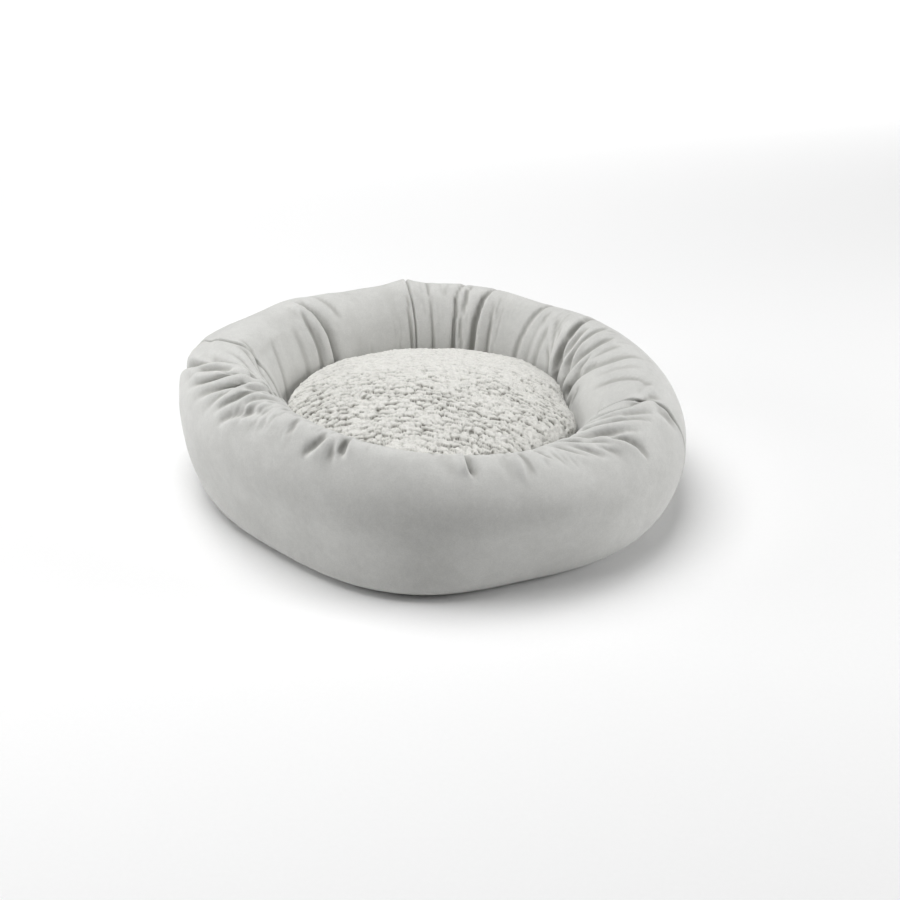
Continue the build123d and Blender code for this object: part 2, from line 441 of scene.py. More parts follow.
@dataclass(frozen=True)
class Sherpa(Finish):
    """Polyester sherpa fleece, knitted and tumbled so that its pile clumps. Its curls give a soft,
    fuzzy edge; the grey in the clefts between the clumps and on each clump's front side is painted shade."""

    # cleft is the colour of the painted shade in the clefts between the clumps
    cleft: str = "66645a"
    curl_mm: float = 2.0
    fibre_mm: float = 0.8  # real fibre is under 0.1 mm, drawn coarser so that it shows
    sockets: ClassVar[dict[str, float]] = {
        "Sheen Weight": 0.35, "Sheen Roughness": 0.5, "Specular IOR Level": 0.15}

    def dress(self, tree: Tree, shader: Node, place: Socket) -> None:
        """Add the painted shade in the clefts, the curls and the fibres."""
        curls = add(tree, "ShaderNodeTexNoise", inputs={
            "Vector": place, "Scale": per_metre(self.curl_mm), "Detail": 4.0, "Distortion": 1.8})
        fibres = add(tree, "ShaderNodeTexNoise", inputs={
            "Vector": place, "Scale": per_metre(self.fibre_mm), "Detail": 2.0, "Roughness": 0.7})
        # the pile attribute holds painted shade, from 0 in a cleft to 1 at the tips; it picks between the
        # cleft colour and the colour
        height = add(tree, "ShaderNodeAttribute", {"attribute_name": "pile"}).outputs["Fac"]
        colour = add(tree, "ShaderNodeMix", MIX,
                     {0: height, 6: linear(self.cleft), 7: linear(self.colour)}).outputs[2]
        mottle = add(tree, "ShaderNodeMapRange", inputs={
            "Value": curls.outputs["Fac"], "From Min": 0.3, "From Max": 0.7,
            "To Min": 0.84, "To Max": 1.05}).outputs["Result"]
        colour = add(tree, "ShaderNodeMix", TINT, {0: 1.0, 6: colour, 7: mottle}).outputs[2]
        relief = add(tree, "ShaderNodeMath", {"operation": "MULTIPLY_ADD"},
                     {0: fibres.outputs["Fac"], 1: 0.35, 2: curls.outputs["Fac"]}).outputs["Value"]
        self.connect(tree, shader, colour, relief, 1.3, 0.65)


@dataclass(frozen=True)
class Woven(Finish):
    """Plain-woven polyester. Its threads cross square, which gives a fine even grid."""

    thread: str = "9a9a98"
    spacing_mm: float = 1.0  # real threads lie about 0.4 mm apart, drawn coarser so that they show
    uneven_mm: float = 18.0
    sockets: ClassVar[dict[str, float]] = {"Specular IOR Level": 0.25}

    def dress(self, tree: Tree, shader: Node, place: Socket) -> None:
        """Add the two sets of threads."""
        warp, weft = (
            add(tree, "ShaderNodeTexWave", {"bands_direction": direction},
                {"Vector": place, "Scale": bands(self.spacing_mm), "Distortion": 0.3}).outputs["Fac"]
            for direction in ("X", "Y"))
        cross = add(tree, "ShaderNodeMath", {"operation": "MULTIPLY"}, {0: warp, 1: weft}).outputs["Value"]
        uneven = add(tree, "ShaderNodeTexNoise", inputs={
            "Vector": place, "Scale": per_metre(self.uneven_mm), "Detail": 3.0})
        colour = add(tree, "ShaderNodeMix", MIX,
                     {0: cross, 6: linear(self.thread), 7: linear(self.colour)}).outputs[2]
        shade = add(tree, "ShaderNodeMapRange", inputs={
            "Value": uneven.outputs["Fac"], "From Min": 0.3, "From Max": 0.7,
            "To Min": 0.94, "To Max": 1.04}).outputs["Result"]
        colour = add(tree, "ShaderNodeMix", TINT, {0: 1.0, 6: colour, 7: shade}).outputs[2]
        self.connect(tree, shader, colour, cross, 0.25, 0.5)


@dataclass(frozen=True)
class Cloudy(Finish):
    """A finish of one soft pattern between two near colours, which is also its relief."""

    shade: str
    spot_mm: float
    detail: float
    distortion: float
    depth_mm: float
    strength: float

    def dress(self, tree: Tree, shader: Node, place: Socket) -> None:
        """Add the pattern."""
        spots = add(tree, "ShaderNodeTexNoise", inputs={
            "Vector": place, "Scale": per_metre(self.spot_mm), "Detail": self.detail,
            "Distortion": self.distortion}).outputs["Fac"]
        colour = add(tree, "ShaderNodeMix", MIX,
                     {0: spots, 6: linear(self.shade), 7: linear(self.colour)}).outputs[2]
        self.connect(tree, shader, colour, spots, self.depth_mm, self.strength)
        self.wear(tree, shader, spots)

    def wear(self, tree: Tree, shader: Node, spots: Socket) -> None:
        """Let the pattern change the gloss, in a finish that shows it."""


@dataclass(frozen=True)
class Fibre(Cloudy):
    """Carded polyester fibre. Its loose strands give a cloudy white."""

    sockets: ClassVar[dict[str, float]] = {"Sheen Weight": 0.3}


@dataclass(frozen=True)
class Nylon(Cloudy):
    """Drawn nylon monofilament. It is smooth, with a soft gloss and a slightly uneven tint."""

    sockets: ClassVar[dict[str, float]] = {"IOR": 1.53}


@dataclass(frozen=True)
class PlatedZinc(Cloudy):
    """Die-cast zinc, nickel plated. It gives bright soft reflections and fine handling marks."""

    sockets: ClassVar[dict[str, float]] = {"Metallic": 1.0}

    def wear(self, tree: Tree, shader: Node, spots: Socket) -> None:
        """Dull the handling marks."""
        dulled = add(tree, "ShaderNodeMapRange", inputs={
            "Value": spots, "From Min": 0.3, "From Max": 0.7,
            "To Min": 0.24, "To Max": 0.4}).outputs["Result"]
        tree.links.new(dulled, shader.inputs["Roughness"])


@dataclass(frozen=True)
class Satin(Finish):
    """Woven polyester satin. Its long floats give fine ribs and a silky shine."""

    shade: str = "dedede"
    rib_mm: float = 0.5

    def dress(self, tree: Tree, shader: Node, place: Socket) -> None:
        """Add the ribs."""
        ribs = add(tree, "ShaderNodeTexWave", {"bands_direction": "DIAGONAL"},
                   {"Vector": place, "Scale": bands(self.rib_mm), "Distortion": 0.5}).outputs["Fac"]
        colour = add(tree, "ShaderNodeMix", MIX,
                     {0: ribs, 6: linear(self.shade), 7: linear(self.colour)}).outputs[2]
        self.connect(tree, shader, colour, ribs, 0.08, 0.4)


@dataclass(frozen=True)
class Painted(Finish):
    """Matt painted board. It is plain and pale with a faint roller texture."""

    stipple_mm: float = 4.0

    def dress(self, tree: Tree, shader: Node, place: Socket) -> None:
        """Add the roller's texture."""
        stipple = add(tree, "ShaderNodeTexNoise",
                      inputs={"Vector": place, "Scale": per_metre(self.stipple_mm)}).outputs["Fac"]
        shade = add(tree, "ShaderNodeMapRange", inputs={
            "Value": stipple, "From Min": 0.3, "From Max": 0.7,
            "To Min": 0.99, "To Max": 1.0}).outputs["Result"]
        colour = add(tree, "ShaderNodeMix", TINT, {0: 1.0, 6: linear(self.colour), 7: shade}).outputs[2]
        self.connect(tree, shader, colour, stipple, 0.05, 0.1)


VELOUR = Velour("velour_brushed_grey", "c6c6c3", 0.92)
SHERPA = Sherpa("sherpa_fleece_ecru", "eeede8", 0.95)
BASE_CLOTH = Woven("oxford_woven_grey", "86868a", 0.8, "6d6d70", 1.0)
FLOOR_CLOTH = Woven("polyester_woven_pale", "c9c9c6", 0.85, "a9a9a6", 1.2)
LINER_CLOTH = Woven("lining_woven_white", "ececea", 0.8, "d2d2cf", 1.0)
TAPE_CLOTH = Woven("zip_tape_woven_grey", "b9b9b6", 0.75, "8c8c89", 0.9)
ELASTIC = Woven("elastic_braided_white", "e6e6e3", 0.7, "bdbdb9", 1.4)
FIBRE = Fibre("polyester_fibre_carded", "f6f6f4", 0.95, "dfdfdc", 6.0, 5.0, 2.0, 1.5, 0.7)
WADDING = Fibre("polyester_wadding_bonded", "f0f0ee", 0.95, "dfdfdc", 9.0, 5.0, 2.0, 1.5, 0.7)
GRIP = Nylon("grip_dots_moulded", "55565a", 0.55, "a9a9a6", 3.0, 2.0, 0.0, 0.05, 0.2)
COIL = Nylon("zip_coil_drawn_nylon", "c2c2bf", 0.35, "a9a9a6", 3.0, 2.0, 0.0, 0.05, 0.2)
METAL = PlatedZinc("zinc_nickel_plated", "c9c8c4", 0.3, "b5b4b0", 0.9, 5.0, 3.0, 0.03, 0.3)
LABEL = Satin("label_woven_satin", "f4f4f2", 0.4)
FLOOR_PAINT = Painted("studio_board_painted", "f4f4f4", 0.9)


def settle(piece: Piece, body: Body, slot: str, finish: Finish, *nodes: str) -> None:
    """Finish a piece and put it in its place in the model.

    Args:
        piece: the new piece.
        body: the body that it moves with.
        slot: the record's material slot; not used.
        finish: its material.
        nodes: the CAD nodes that it stands for.
    """
    piece.data.materials.append(finish.material())
    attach(piece, body.value)
    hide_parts(*nodes)
    log.info("%s: %d faces, rides on %s", piece.name, len(piece.data.polygons), body.value)


# The ring's cover


@dataclass(frozen=True)
class Fold:
    """One fold of the cover.

    A path's points are (angle in degrees, share of the way from the base seam over the crest to the
    inner seam). Depth and width are in millimetres. An open fold runs on at its last point, and kept
    is the share of the depth that is pressed in again after the cloth has settled.
    """

    path: tuple[tuple[float, float], ...]
    depth: float
    width: float
    lie: Lie = Lie.GROOVE
    is_open: bool = False
    kept: float = 0.35


BACK_FOLDS = (
    Fold(((99.5, 0.58), (99.3, 0.66), (99, 0.78)), 2.5, 2.4, is_open=True, kept=0.5),
    Fold(((92, 0.50), (91.5, 0.60)), 5, 1.8, kept=0.9),
    Fold(((91, 0.58), (90.5, 0.66), (90, 0.80)), 3, 1.3, is_open=True, kept=0.8),
    Fold(((88, 0.49), (87.5, 0.59)), 2.2, 4),
    Fold(((79, 0.47), (82, 0.58), (82, 0.80)), 6, 1.5, Lie.LAP_OVER_RIGHT, True, 0.9),
    Fold(((84.8, 0.50), (86, 0.60)), 2.2, 3),
    Fold(((76.5, 0.50), (78, 0.58), (78.5, 0.66)), 2.5, 3.5, kept=0.5),
    Fold(((69, 0.51), (71.5, 0.60), (72.5, 0.68), (73, 0.80)), 6.5, 2.2, Lie.LAP_OVER_LEFT, True, 0.9),
    Fold(((50, 0.49), (52, 0.60), (53.5, 0.70), (54, 0.80)), 4.5, 2.6, is_open=True, kept=0.6),
    Fold(((44, 0.60), (43.2, 0.80)), 4, 3, is_open=True, kept=0.5),
    Fold(((47.5, 0.54), (48, 0.80)), 2.5, 4, is_open=True),
)
RIGHT_FOLDS = (
    Fold(((36, 0.47), (34, 0.60), (32, 0.72), (28, 0.80)), 9, 3, Lie.LAP_OVER_RIGHT, True, 0.7),
    Fold(((31, 0.52), (29, 0.64), (27, 0.80)), 5, 3, is_open=True, kept=0.4),
    Fold(((27, 0.50), (26, 0.62), (24, 0.78)), 4, 3, is_open=True),
    Fold(((20, 0.53), (20.5, 0.66)), 5, 5, kept=0.6),
    Fold(((8, 0.47), (8, 0.58), (13, 0.69), (15, 0.78)), 6, 5, is_open=True, kept=0.6),
    Fold(((14, 0.52), (17, 0.70)), 2.5, 5),
    Fold(((1, 0.50), (3, 0.64)), 2.5, 5),
    Fold(((352, 0.46), (354.5, 0.56), (357, 0.66)), 4.5, 5, kept=0.5),
    Fold(((347.5, 0.46), (343, 0.43), (344.5, 0.35)), 5, 8, kept=0.6),
    Fold(((346, 0.49), (349, 0.44)), 3.5, 5, kept=0.5),
    Fold(((327, 0.49), (320, 0.53), (313, 0.56), (310, 0.64)), 7, 4.5, is_open=True, kept=0.6),
    Fold(((320, 0.50), (323.5, 0.47), (325.5, 0.42), (326, 0.36)), 8, 3.6, Lie.LAP_OVER_LEFT, kept=0.9),
)
FRONT_FOLDS = (
    Fold(((278.5, 0.57), (278.6, 0.51), (279.5, 0.46)), 14, 3.0, Lie.LAP_OVER_LEFT, kept=1.3),
    Fold(((291.5, 0.57), (291.5, 0.42)), 2.6, 2.4, Lie.RIDGE, kept=1.1),
    Fold(((294.5, 0.56), (294, 0.45)), 2, 4, kept=0.6),
    Fold(((300, 0.52), (301, 0.62)), 3, 5),
    Fold(((242, 0.52), (239.5, 0.465), (237, 0.42)), 6, 3, Lie.LAP_OVER_RIGHT, kept=0.9),
    Fold(((243.5, 0.52), (244.5, 0.43)), 4, 3, kept=0.8),
    Fold(((246, 0.56), (246.4, 0.50), (246.8, 0.46)), 10, 2.8, kept=1.1),
    Fold(((229, 0.55), (231, 0.48)), 2.5, 6),
)
LEFT_FOLDS = (
    Fold(((163, 0.27), (170, 0.35), (180, 0.44), (189, 0.52), (198, 0.585), (208, 0.63)), 8, 4,
         Lie.LAP_OVER_RIGHT, True, 0.8),
    Fold(((174, 0.42), (183, 0.50), (194, 0.575), (205, 0.64)), 4, 3.5, is_open=True),
    Fold(((181, 0.39), (184, 0.45), (190.5, 0.50), (203, 0.58), (210, 0.63)), 5, 4, is_open=True, kept=0.6),
    Fold(((186, 0.40), (196, 0.50), (205, 0.56)), 3, 4),
    Fold(((190, 0.385), (196, 0.45), (202, 0.50), (208, 0.545)), 5, 4, kept=0.6),
    Fold(((199, 0.43), (206, 0.50), (212, 0.55)), 3, 3.5),
    Fold(((206, 0.385), (211.5, 0.435), (218, 0.47)), 5.5, 5, Lie.LAP_OVER_RIGHT, kept=0.8),
    Fold(((210, 0.45), (221, 0.495)), 4, 4, kept=0.7),
    Fold(((171, 0.53), (176, 0.59), (184, 0.65), (190, 0.80)), 5, 2.4, is_open=True, kept=0.7),
    Fold(((175, 0.53), (181, 0.59), (190, 0.66), (196, 0.80)), 5, 2.4, is_open=True, kept=0.7),
    Fold(((181, 0.53), (191, 0.59), (201, 0.66), (204, 0.80)), 5, 3, is_open=True, kept=0.6),
    Fold(((138, 0.53), (136, 0.60), (134.5, 0.68), (135.5, 0.82)), 14, 4.5, Lie.LAP_OVER_RIGHT, True, 0.9),
    Fold(((130, 0.52), (127.5, 0.58), (126, 0.64)), 3, 4, kept=0.6),
    Fold(((147, 0.60), (148, 0.68), (150, 0.80)), 2.2, 4.5, is_open=True, kept=0.5),
    Fold(((160, 0.60), (165, 0.70), (169, 0.80)), 3, 3.5, is_open=True, kept=0.5),
)


@dataclass(frozen=True)
class Drift:
    """How the cloth is drawn sideways: by degrees, round an angle, between two shares."""

    angle: float
    width: float
    degrees: float
    low: float
    high: float


# How far the well's wall, and the cushion against it, stand out of a true circle: angle, half width
# and move in millimetres
WELL_MOVES = ((4, 15, -7.0), (332, 15, 7.0), (166, 28, 6.0))


@dataclass
class CoverCloth:
    """The ring's cover as one sheet of cloth, from its base seam over the crest to its inner seam.

    Lengths are in millimetres and angles in degrees, counter-clockwise from the right.
    """

    outer_radius: float
    base_seam_radius: float
    inner_seam_radius: float
    base_seam_height: float
    inner_seam_height: float
    cushion_radius: float = 146.3
    contact_height: float = 98.0
    columns: int = 480
    rows: int = 80
    steps: int = 200
    quick_steps: int = 60
    inner_radius: float = 147.0
    widest_height: float = 66.0
    rim_height: float = 140.0
    fullness: float = 1.8
    crest_ease: float = 0.08
    inner_ease: float = 0.36
    base_ease: float = 0.05
    pressure: float = 0.06
    waves_held: int = 24
    quiet: tuple[tuple[float, float], ...] = (
        (62, 8), (80, 14), (110, 17), (148, 12), (340, 12), (290, 14), (262, 14))
    inward_limit: float = 17.0
    outward_limit: float = 7.0
    push: float = 0.35
    shear: float = 0.15
    filling: float = 0.5
    seed: int = 7
    strays: int = 56
    puckers: int = 30
    ironing: int = 8
    ironed: Bumps = ((272, 36, 0.13), (111, 9, 0.5))
    plain: Bumps = ((109, 13, 0.95),)
    outline_waves: Bumps = ((1, 0, 5), (2, 8, -8), (3, 0, 4))
    rim_waves: Bumps = ((1, -9, 7), (2, 0, 4), (3, 0, -1.5))
    drifts: tuple[Drift, ...] = (
        Drift(176, 24, 17, 0.36, 0.64),
        Drift(346, 15, -9, 0.44, 0.60),
        Drift(322, 16, -5, 0.44, 0.60),
        Drift(84, 12, -1.5, 0.40, 0.70),
        Drift(99, 17, 2.2, 0.30, 0.48),
        Drift(99, 17, -1.6, 0.54, 0.72),
        Drift(38, 14, -6, 0.55, 0.80),
        Drift(131, 10, 3, 0.45, 0.65),
    )
    gathered: Bumps = (
        (188, 20, 0.8), (82, 11, 0.45), (32, 13, 0.75), (10, 14, 0.4), (133, 6, 0.6), (243, 5, 0.5),
        (278, 4, 0.5), (320, 8, 0.5), (345, 6, 0.2), (262, 26, 0.25), (300, 16, 0.2),
    )
    swells: Bumps = (
        (100, 4, 5.5), (137, 6, 3.5), (312, 15, -7.0), (118, 8, -1.5), (54, 12, -5.0), (168, 12, 4.0),
    )
    base_moves: Bumps = ((225, 28, -20), (292, 19, -12), (330, 14, 3))
    shoulder_moves: Bumps = ((166, 18, 12),)

    def __post_init__(self) -> None:
        """Work out the filled form, the seams' cloth lengths and where the folds start."""
        self.angle = np.arange(self.columns) / self.columns * 360.0
        section, height = self.section()
        steps = np.hypot(np.diff(section), np.diff(height))
        self.share = np.concatenate([[0], np.cumsum(steps)]) / steps.sum()
        column = self.angle[:, None]
        share = self.share[None, :]
        lean = sum(d.degrees * bell(turn(column - d.angle), d.width)
                   * smooth(share, d.low, d.high) for d in self.drifts)
        self.place = column + lean
        turned = np.radians(self.place)
        above = smooth(section, self.inner_seam_radius, self.outer_radius) * smooth(height, 2, 45)
        radius = section + above * waves(turned, self.outline_waves)
        radius += bumps(self.place, self.base_moves) * (1 - smooth(share, 0.14, 0.36))
        shoulder = smooth(share, 0.20, 0.34) * (1 - smooth(share, 0.44, 0.54))
        radius += bumps(self.place, self.shoulder_moves) * shoulder
        wall = smooth(share, 0.56, 0.68) * (1 - smooth(share, 0.84, 0.97))
        radius += bumps(self.place, WELL_MOVES) * wall
        rise = waves(turned, self.rim_waves) + bumps(self.place, self.swells)
        rise /= self.rim_height - self.widest_height
        upper = np.maximum(height - self.widest_height, 0)
        tall = height + upper * rise
        self.form = around_axis(radius, turned, tall)
        self.normal = self.outward(self.form)
        self.across = self.cloth_across(section, share)
        self.along = np.linalg.norm(np.diff(self.form, axis=1), axis=-1)

    def section(self) -> tuple[Array, Array]:
        """The filled ring's section, evenly spaced.

        Returns:
            The radius and the height of each row.
        """
        quarter = np.linspace(0, math.pi / 2, 60)
        sine, cosine = np.sin(quarter), np.clip(np.cos(quarter), 0, 1)
        middle = (self.outer_radius + self.inner_radius) / 2
        half = (self.outer_radius - self.inner_radius) / 2
        rise = self.rim_height - self.widest_height
        power = 2 / self.fullness
        tuck = self.outer_radius - self.base_seam_radius
        inner_tuck = self.inner_seam_radius - self.inner_radius
        low = self.widest_height - self.base_seam_height
        inner_low = self.widest_height - self.inner_seam_height
        radius = np.concatenate([
            self.base_seam_radius + tuck * sine,
            (middle + half * cosine**power)[1:],
            (middle - half * sine**power)[1:],
            (self.inner_seam_radius - inner_tuck * cosine)[1:],
        ])
        height = np.concatenate([
            self.widest_height - low * cosine,
            (self.widest_height + rise * sine**power)[1:],
            (self.widest_height + rise * cosine**power)[1:],
            (self.widest_height - inner_low * sine)[1:],
        ])
        walked = walked_along(radius, height)
        even = np.linspace(0, walked[-1], self.rows + 1)
        return np.interp(even, walked, radius), np.interp(even, walked, height)

    def cloth_across(self, section: Array, share: Array) -> Array:
        """The cloth's own length between columns, with the extra that makes its gathers.

        Args:
            section: the section's radius at each row.
            share: each row's share of the way over the ring.
        Returns:
            The length by column and row.
        """
        extra = (self.base_ease * (1 - smooth(share, 0.02, 0.16))
                 + self.crest_ease * smooth(share, 0.40, 0.54)
                 + (self.inner_ease - self.crest_ease) * smooth(share, 0.52, 0.85))
        fuller = 0.30 + bumps(self.angle, self.gathered)
        own = np.linalg.norm(np.roll(self.form, -1, 0) - self.form, axis=-1)
        gathers = smooth(share, 0.36, 0.46) * (1 - bumps(self.angle, self.plain))[:, None]
        even = 2 * math.pi * section[None, :] / self.columns * gathers + own * (1 - gathers)
        return even * (1 + extra * fuller[:, None])

    @staticmethod
    def outward(points: Array) -> Array:
        """The directions that point out of the ring's filling."""
        across = np.roll(points, -1, 0) - np.roll(points, 1, 0)
        return unit(np.cross(across, np.gradient(points, axis=1)))

    def relief(self, folds: tuple[Fold, ...]) -> Array:
        """How far folds move the cloth out of its filled form.

        Args:
            folds: the folds, whose depths are used as they are.
        Returns:
            The move along the form's normal at each point.
        """
        length = self.along.mean(0).sum()
        radius = np.hypot(self.form[..., 0], self.form[..., 1])
        move = np.zeros(radius.shape)
        for fold in folds:
            middle = fold.path[len(fold.path) // 2][0]
            sideways = np.radians(turn(self.place - middle)) * radius
            upwards = np.broadcast_to(self.share * length, radius.shape)
            corners = [(math.radians(turn(a - middle)), s) for a, s in fold.path]
            nearest = np.full(radius.shape, 1e9)
            side = np.zeros(radius.shape)
            reach = np.zeros(radius.shape)
            for number, ((a0, s0), (a1, s1)) in enumerate(zip(corners, corners[1:])):
                x0, x1 = a0 * radius, a1 * radius
                y0, y1 = s0 * length, s1 * length
                dx, dy = x1 - x0, y1 - y0
                t = ((sideways - x0) * dx + (upwards - y0) * dy) / np.maximum(dx * dx + dy * dy, 1e-6)
                t = np.clip(t, 0, 1)
                gap = np.hypot(sideways - x0 - t * dx, upwards - y0 - t * dy)
                closer = gap < nearest
                nearest = np.where(closer, gap, nearest)
                left = (sideways - x0 - t * dx) * math.copysign(1, s1 - s0 + 1e-9)
                side = np.where(closer, left * math.copysign(1, s1 - s0 + 1e-9), side)
                reach = np.where(closer, (number + t) / (len(corners) - 1), reach)
            fade = smooth(reach, -0.05, 0.3)
            if not fold.is_open:
                fade = fade * (1 - smooth(reach, 0.7, 1.05))
            move += fade * fold.depth * self.cut(nearest, side, fold)
        return move * np.minimum(smooth(self.share, 0, 0.03), 1 - smooth(self.share, 0.96, 1))

    @staticmethod
    def cut(gap: Array, side: Array, fold: Fold) -> Array:
        """A fold's section.

        Args:
            gap: each point's distance from the fold's line.
            side: the side of the line that it lies on, by its sign.
            fold: the fold.
        Returns:
            How far each point moves outwards, as a share of the fold's depth.
        """
        groove = bell(gap, fold.width)
        if fold.lie is Lie.RIDGE:
            return groove
        if fold.lie is Lie.GROOVE:
            return 0.22 * bell(gap, 3 * fold.width) - 1.1 * groove
        over = side > 0 if fold.lie is Lie.LAP_OVER_RIGHT else side < 0
        lifted = 0.30 * bell(gap, 3.2 * fold.width)
        sunk = -bell(gap, 1.4 * fold.width)
        return np.where(over, lifted - 0.75 * bell(gap, 0.35 * fold.width), sunk)

    def stray_folds(self) -> tuple[Fold, ...]:
        """Small folds between the named ones, and the puckers along the base seam."""
        random = np.random.default_rng(self.seed)
        strays = []
        for _ in range(self.strays):
            angle, start = random.uniform(0, 360), random.uniform(0.50, 0.66)
            quiet = min(abs(turn(angle - middle)) - half for middle, half in self.quiet) < 0
            tilt = random.normal(0, 3)
            depth = random.uniform(1.0, 2.8) * (0.12 if quiet else 1)
            path = ((angle, start), (angle + tilt, 0.95))
            strays.append(Fold(path, depth, random.uniform(2, 4.5), is_open=True, kept=0))
        for _ in range(self.puckers):
            angle = random.uniform(0, 360)
            path = ((angle, 0.13), (angle + random.normal(0, 1.5), 0.02))
            strays.append(Fold(path, random.uniform(0.3, 1.1), random.uniform(4, 8), is_open=True, kept=0))
        return tuple(strays)

    def settle_cloth(self, folds: tuple[Fold, ...]) -> Array:
        """Let the cloth find its shape under its seams, its filling and its own stiffness.

        Args:
            folds: where the cloth starts to fold.
        Returns:
            The settled points, by column and row.
        """
        points = self.form + self.relief(folds + self.stray_folds())[..., None] * self.normal
        column = np.arange(self.columns)
        row = np.arange(self.rows + 1)
        slant = np.sqrt(self.across[:, :-1] ** 2 + self.along**2)
        for _ in range(self.steps):
            for start in (0, 1):
                here = column[start::2, None]
                there = (here + 1) % self.columns
                self.pull(points, (here, row), (there, row), self.across[here, row], self.push)
            for start in (0, 1):
                low = row[start:-1:2]
                here = column[:, None]
                self.pull(points, (here, low), (here, low + 1), self.along[here, low], self.push)
            for start in (0, 1):
                here = column[start::2, None]
                there = (here + 1) % self.columns
                for first in (0, 1):
                    low = row[first:-1:2]
                    rest = slant[here, low]
                    self.pull(points, (here, low), (there, low + 1), rest, self.shear, self.shear)
                    self.pull(points, (there, low), (here, low + 1), rest, self.shear, self.shear)
            self.stiffen(points)
            points += self.pressure * self.outward(points)
            points -= self.filling * self.slow_part(points - self.form)
            self.hold(points)
        self.iron(points)
        return points

    def iron(self, points: Array) -> None:
        """Smooth the fine creases out of the outer wall, and higher up where cloth lies plain.

        Args:
            points: all points, which are changed.
        """
        higher = bumps(self.place, self.ironed)
        wall = 0.25 * (1 - smooth(self.share, 0.32 + higher, 0.44 + higher))[..., None]
        for _ in range(self.ironing):
            points += wall * (np.roll(points, 1, 0) + np.roll(points, -1, 0) - 2 * points)
            points[:, 1:-1] += wall[:, 1:-1] * (points[:, 2:] + points[:, :-2] - 2 * points[:, 1:-1])

    @staticmethod
    def pull(points: Array, first: tuple, second: tuple, rest: Array, press: float,
             stretch: float = 1.0) -> None:
        """Move pairs of points towards their rest distance.

        Args:
            points: all points, which are changed.
            first: one end of each pair.
            second: the other end.
            rest: the distance that each pair has in flat cloth.
            press: how firmly a short pair is pushed apart, from 0 to 1.
            stretch: how firmly a long pair is drawn together.
        """
        apart = points[second] - points[first]
        length = np.sqrt((apart * apart).sum(-1))
        excess = (length - rest) / np.maximum(length, 1e-6)
        share = np.where(excess > 0, stretch, press) * 0.5 * excess
        move = apart * share[..., None]
        points[first] += move
        points[second] -= move

    def stiffen(self, points: Array) -> None:
        """Keep the cloth from folding more sharply than its thickness lets it.

        Args:
            points: all points, which are changed.
        """
        for step, least in ((2, 0.90), (4, 0.78), (6, 0.70)):
            apart = np.roll(points, -step, 0) - points
            length = np.sqrt((apart * apart).sum(-1))
            short = np.minimum(length - self.across * step * least, 0) / np.maximum(length, 1e-6)
            move = apart * (0.25 * short)[..., None]
            points += move - np.roll(move, step, 0)
        for step, least in ((2, 0.97), (4, 0.94)):
            apart = points[:, step:] - points[:, :-step]
            length = np.sqrt((apart * apart).sum(-1))
            rest = self.along[:, : length.shape[1]] * step * least
            move = apart * (0.25 * np.minimum(length - rest, 0) / np.maximum(length, 1e-6))[..., None]
            points[:, :-step] += move
            points[:, step:] -= move

    def slow_part(self, moved: Array) -> Array:
        """The part of a move that is wider than the gathers, which the filling resists.

        Args:
            moved: how far each point has moved.
        Returns:
            The slow part of that.
        """
        spectrum = np.fft.rfft(moved, axis=0)
        spectrum *= np.exp(-((np.arange(len(spectrum)) / self.waves_held) ** 4))[:, None, None]
        moved = np.fft.irfft(spectrum, n=self.columns, axis=0)
        window = 4
        for _ in range(2):
            edges = [np.repeat(moved[:, :1], window + 1, 1), moved, np.repeat(moved[:, -1:], window, 1)]
            total = np.cumsum(np.concatenate(edges, 1), axis=1)
            moved = (total[:, 2 * window + 1 :] - total[:, : -2 * window - 1]) / (2 * window + 1)
        return moved

    def hold(self, points: Array) -> None:
        """Keep the cloth within its limits, off the cushion and the floor, and on its seams.

        Args:
            points: all points, which are changed.
        """
        depth = ((points - self.form) * self.normal).sum(-1)
        allowed = np.clip(depth, -self.inward_limit, self.outward_limit)
        points += (0.5 * (allowed - depth))[..., None] * self.normal
        radius = np.hypot(points[..., 0], points[..., 1])
        cushion = self.cushion_radius + bumps(self.place, WELL_MOVES)
        touching = (radius < cushion) & (points[..., 2] < self.contact_height)
        widen = np.where(touching, cushion / np.maximum(radius, 1), 1.0)
        points[..., :2] *= widen[..., None]
        points[..., 2] = np.maximum(points[..., 2], self.base_seam_height)
        points[:, 0] = self.form[:, 0]
        points[:, -1] = self.form[:, -1]


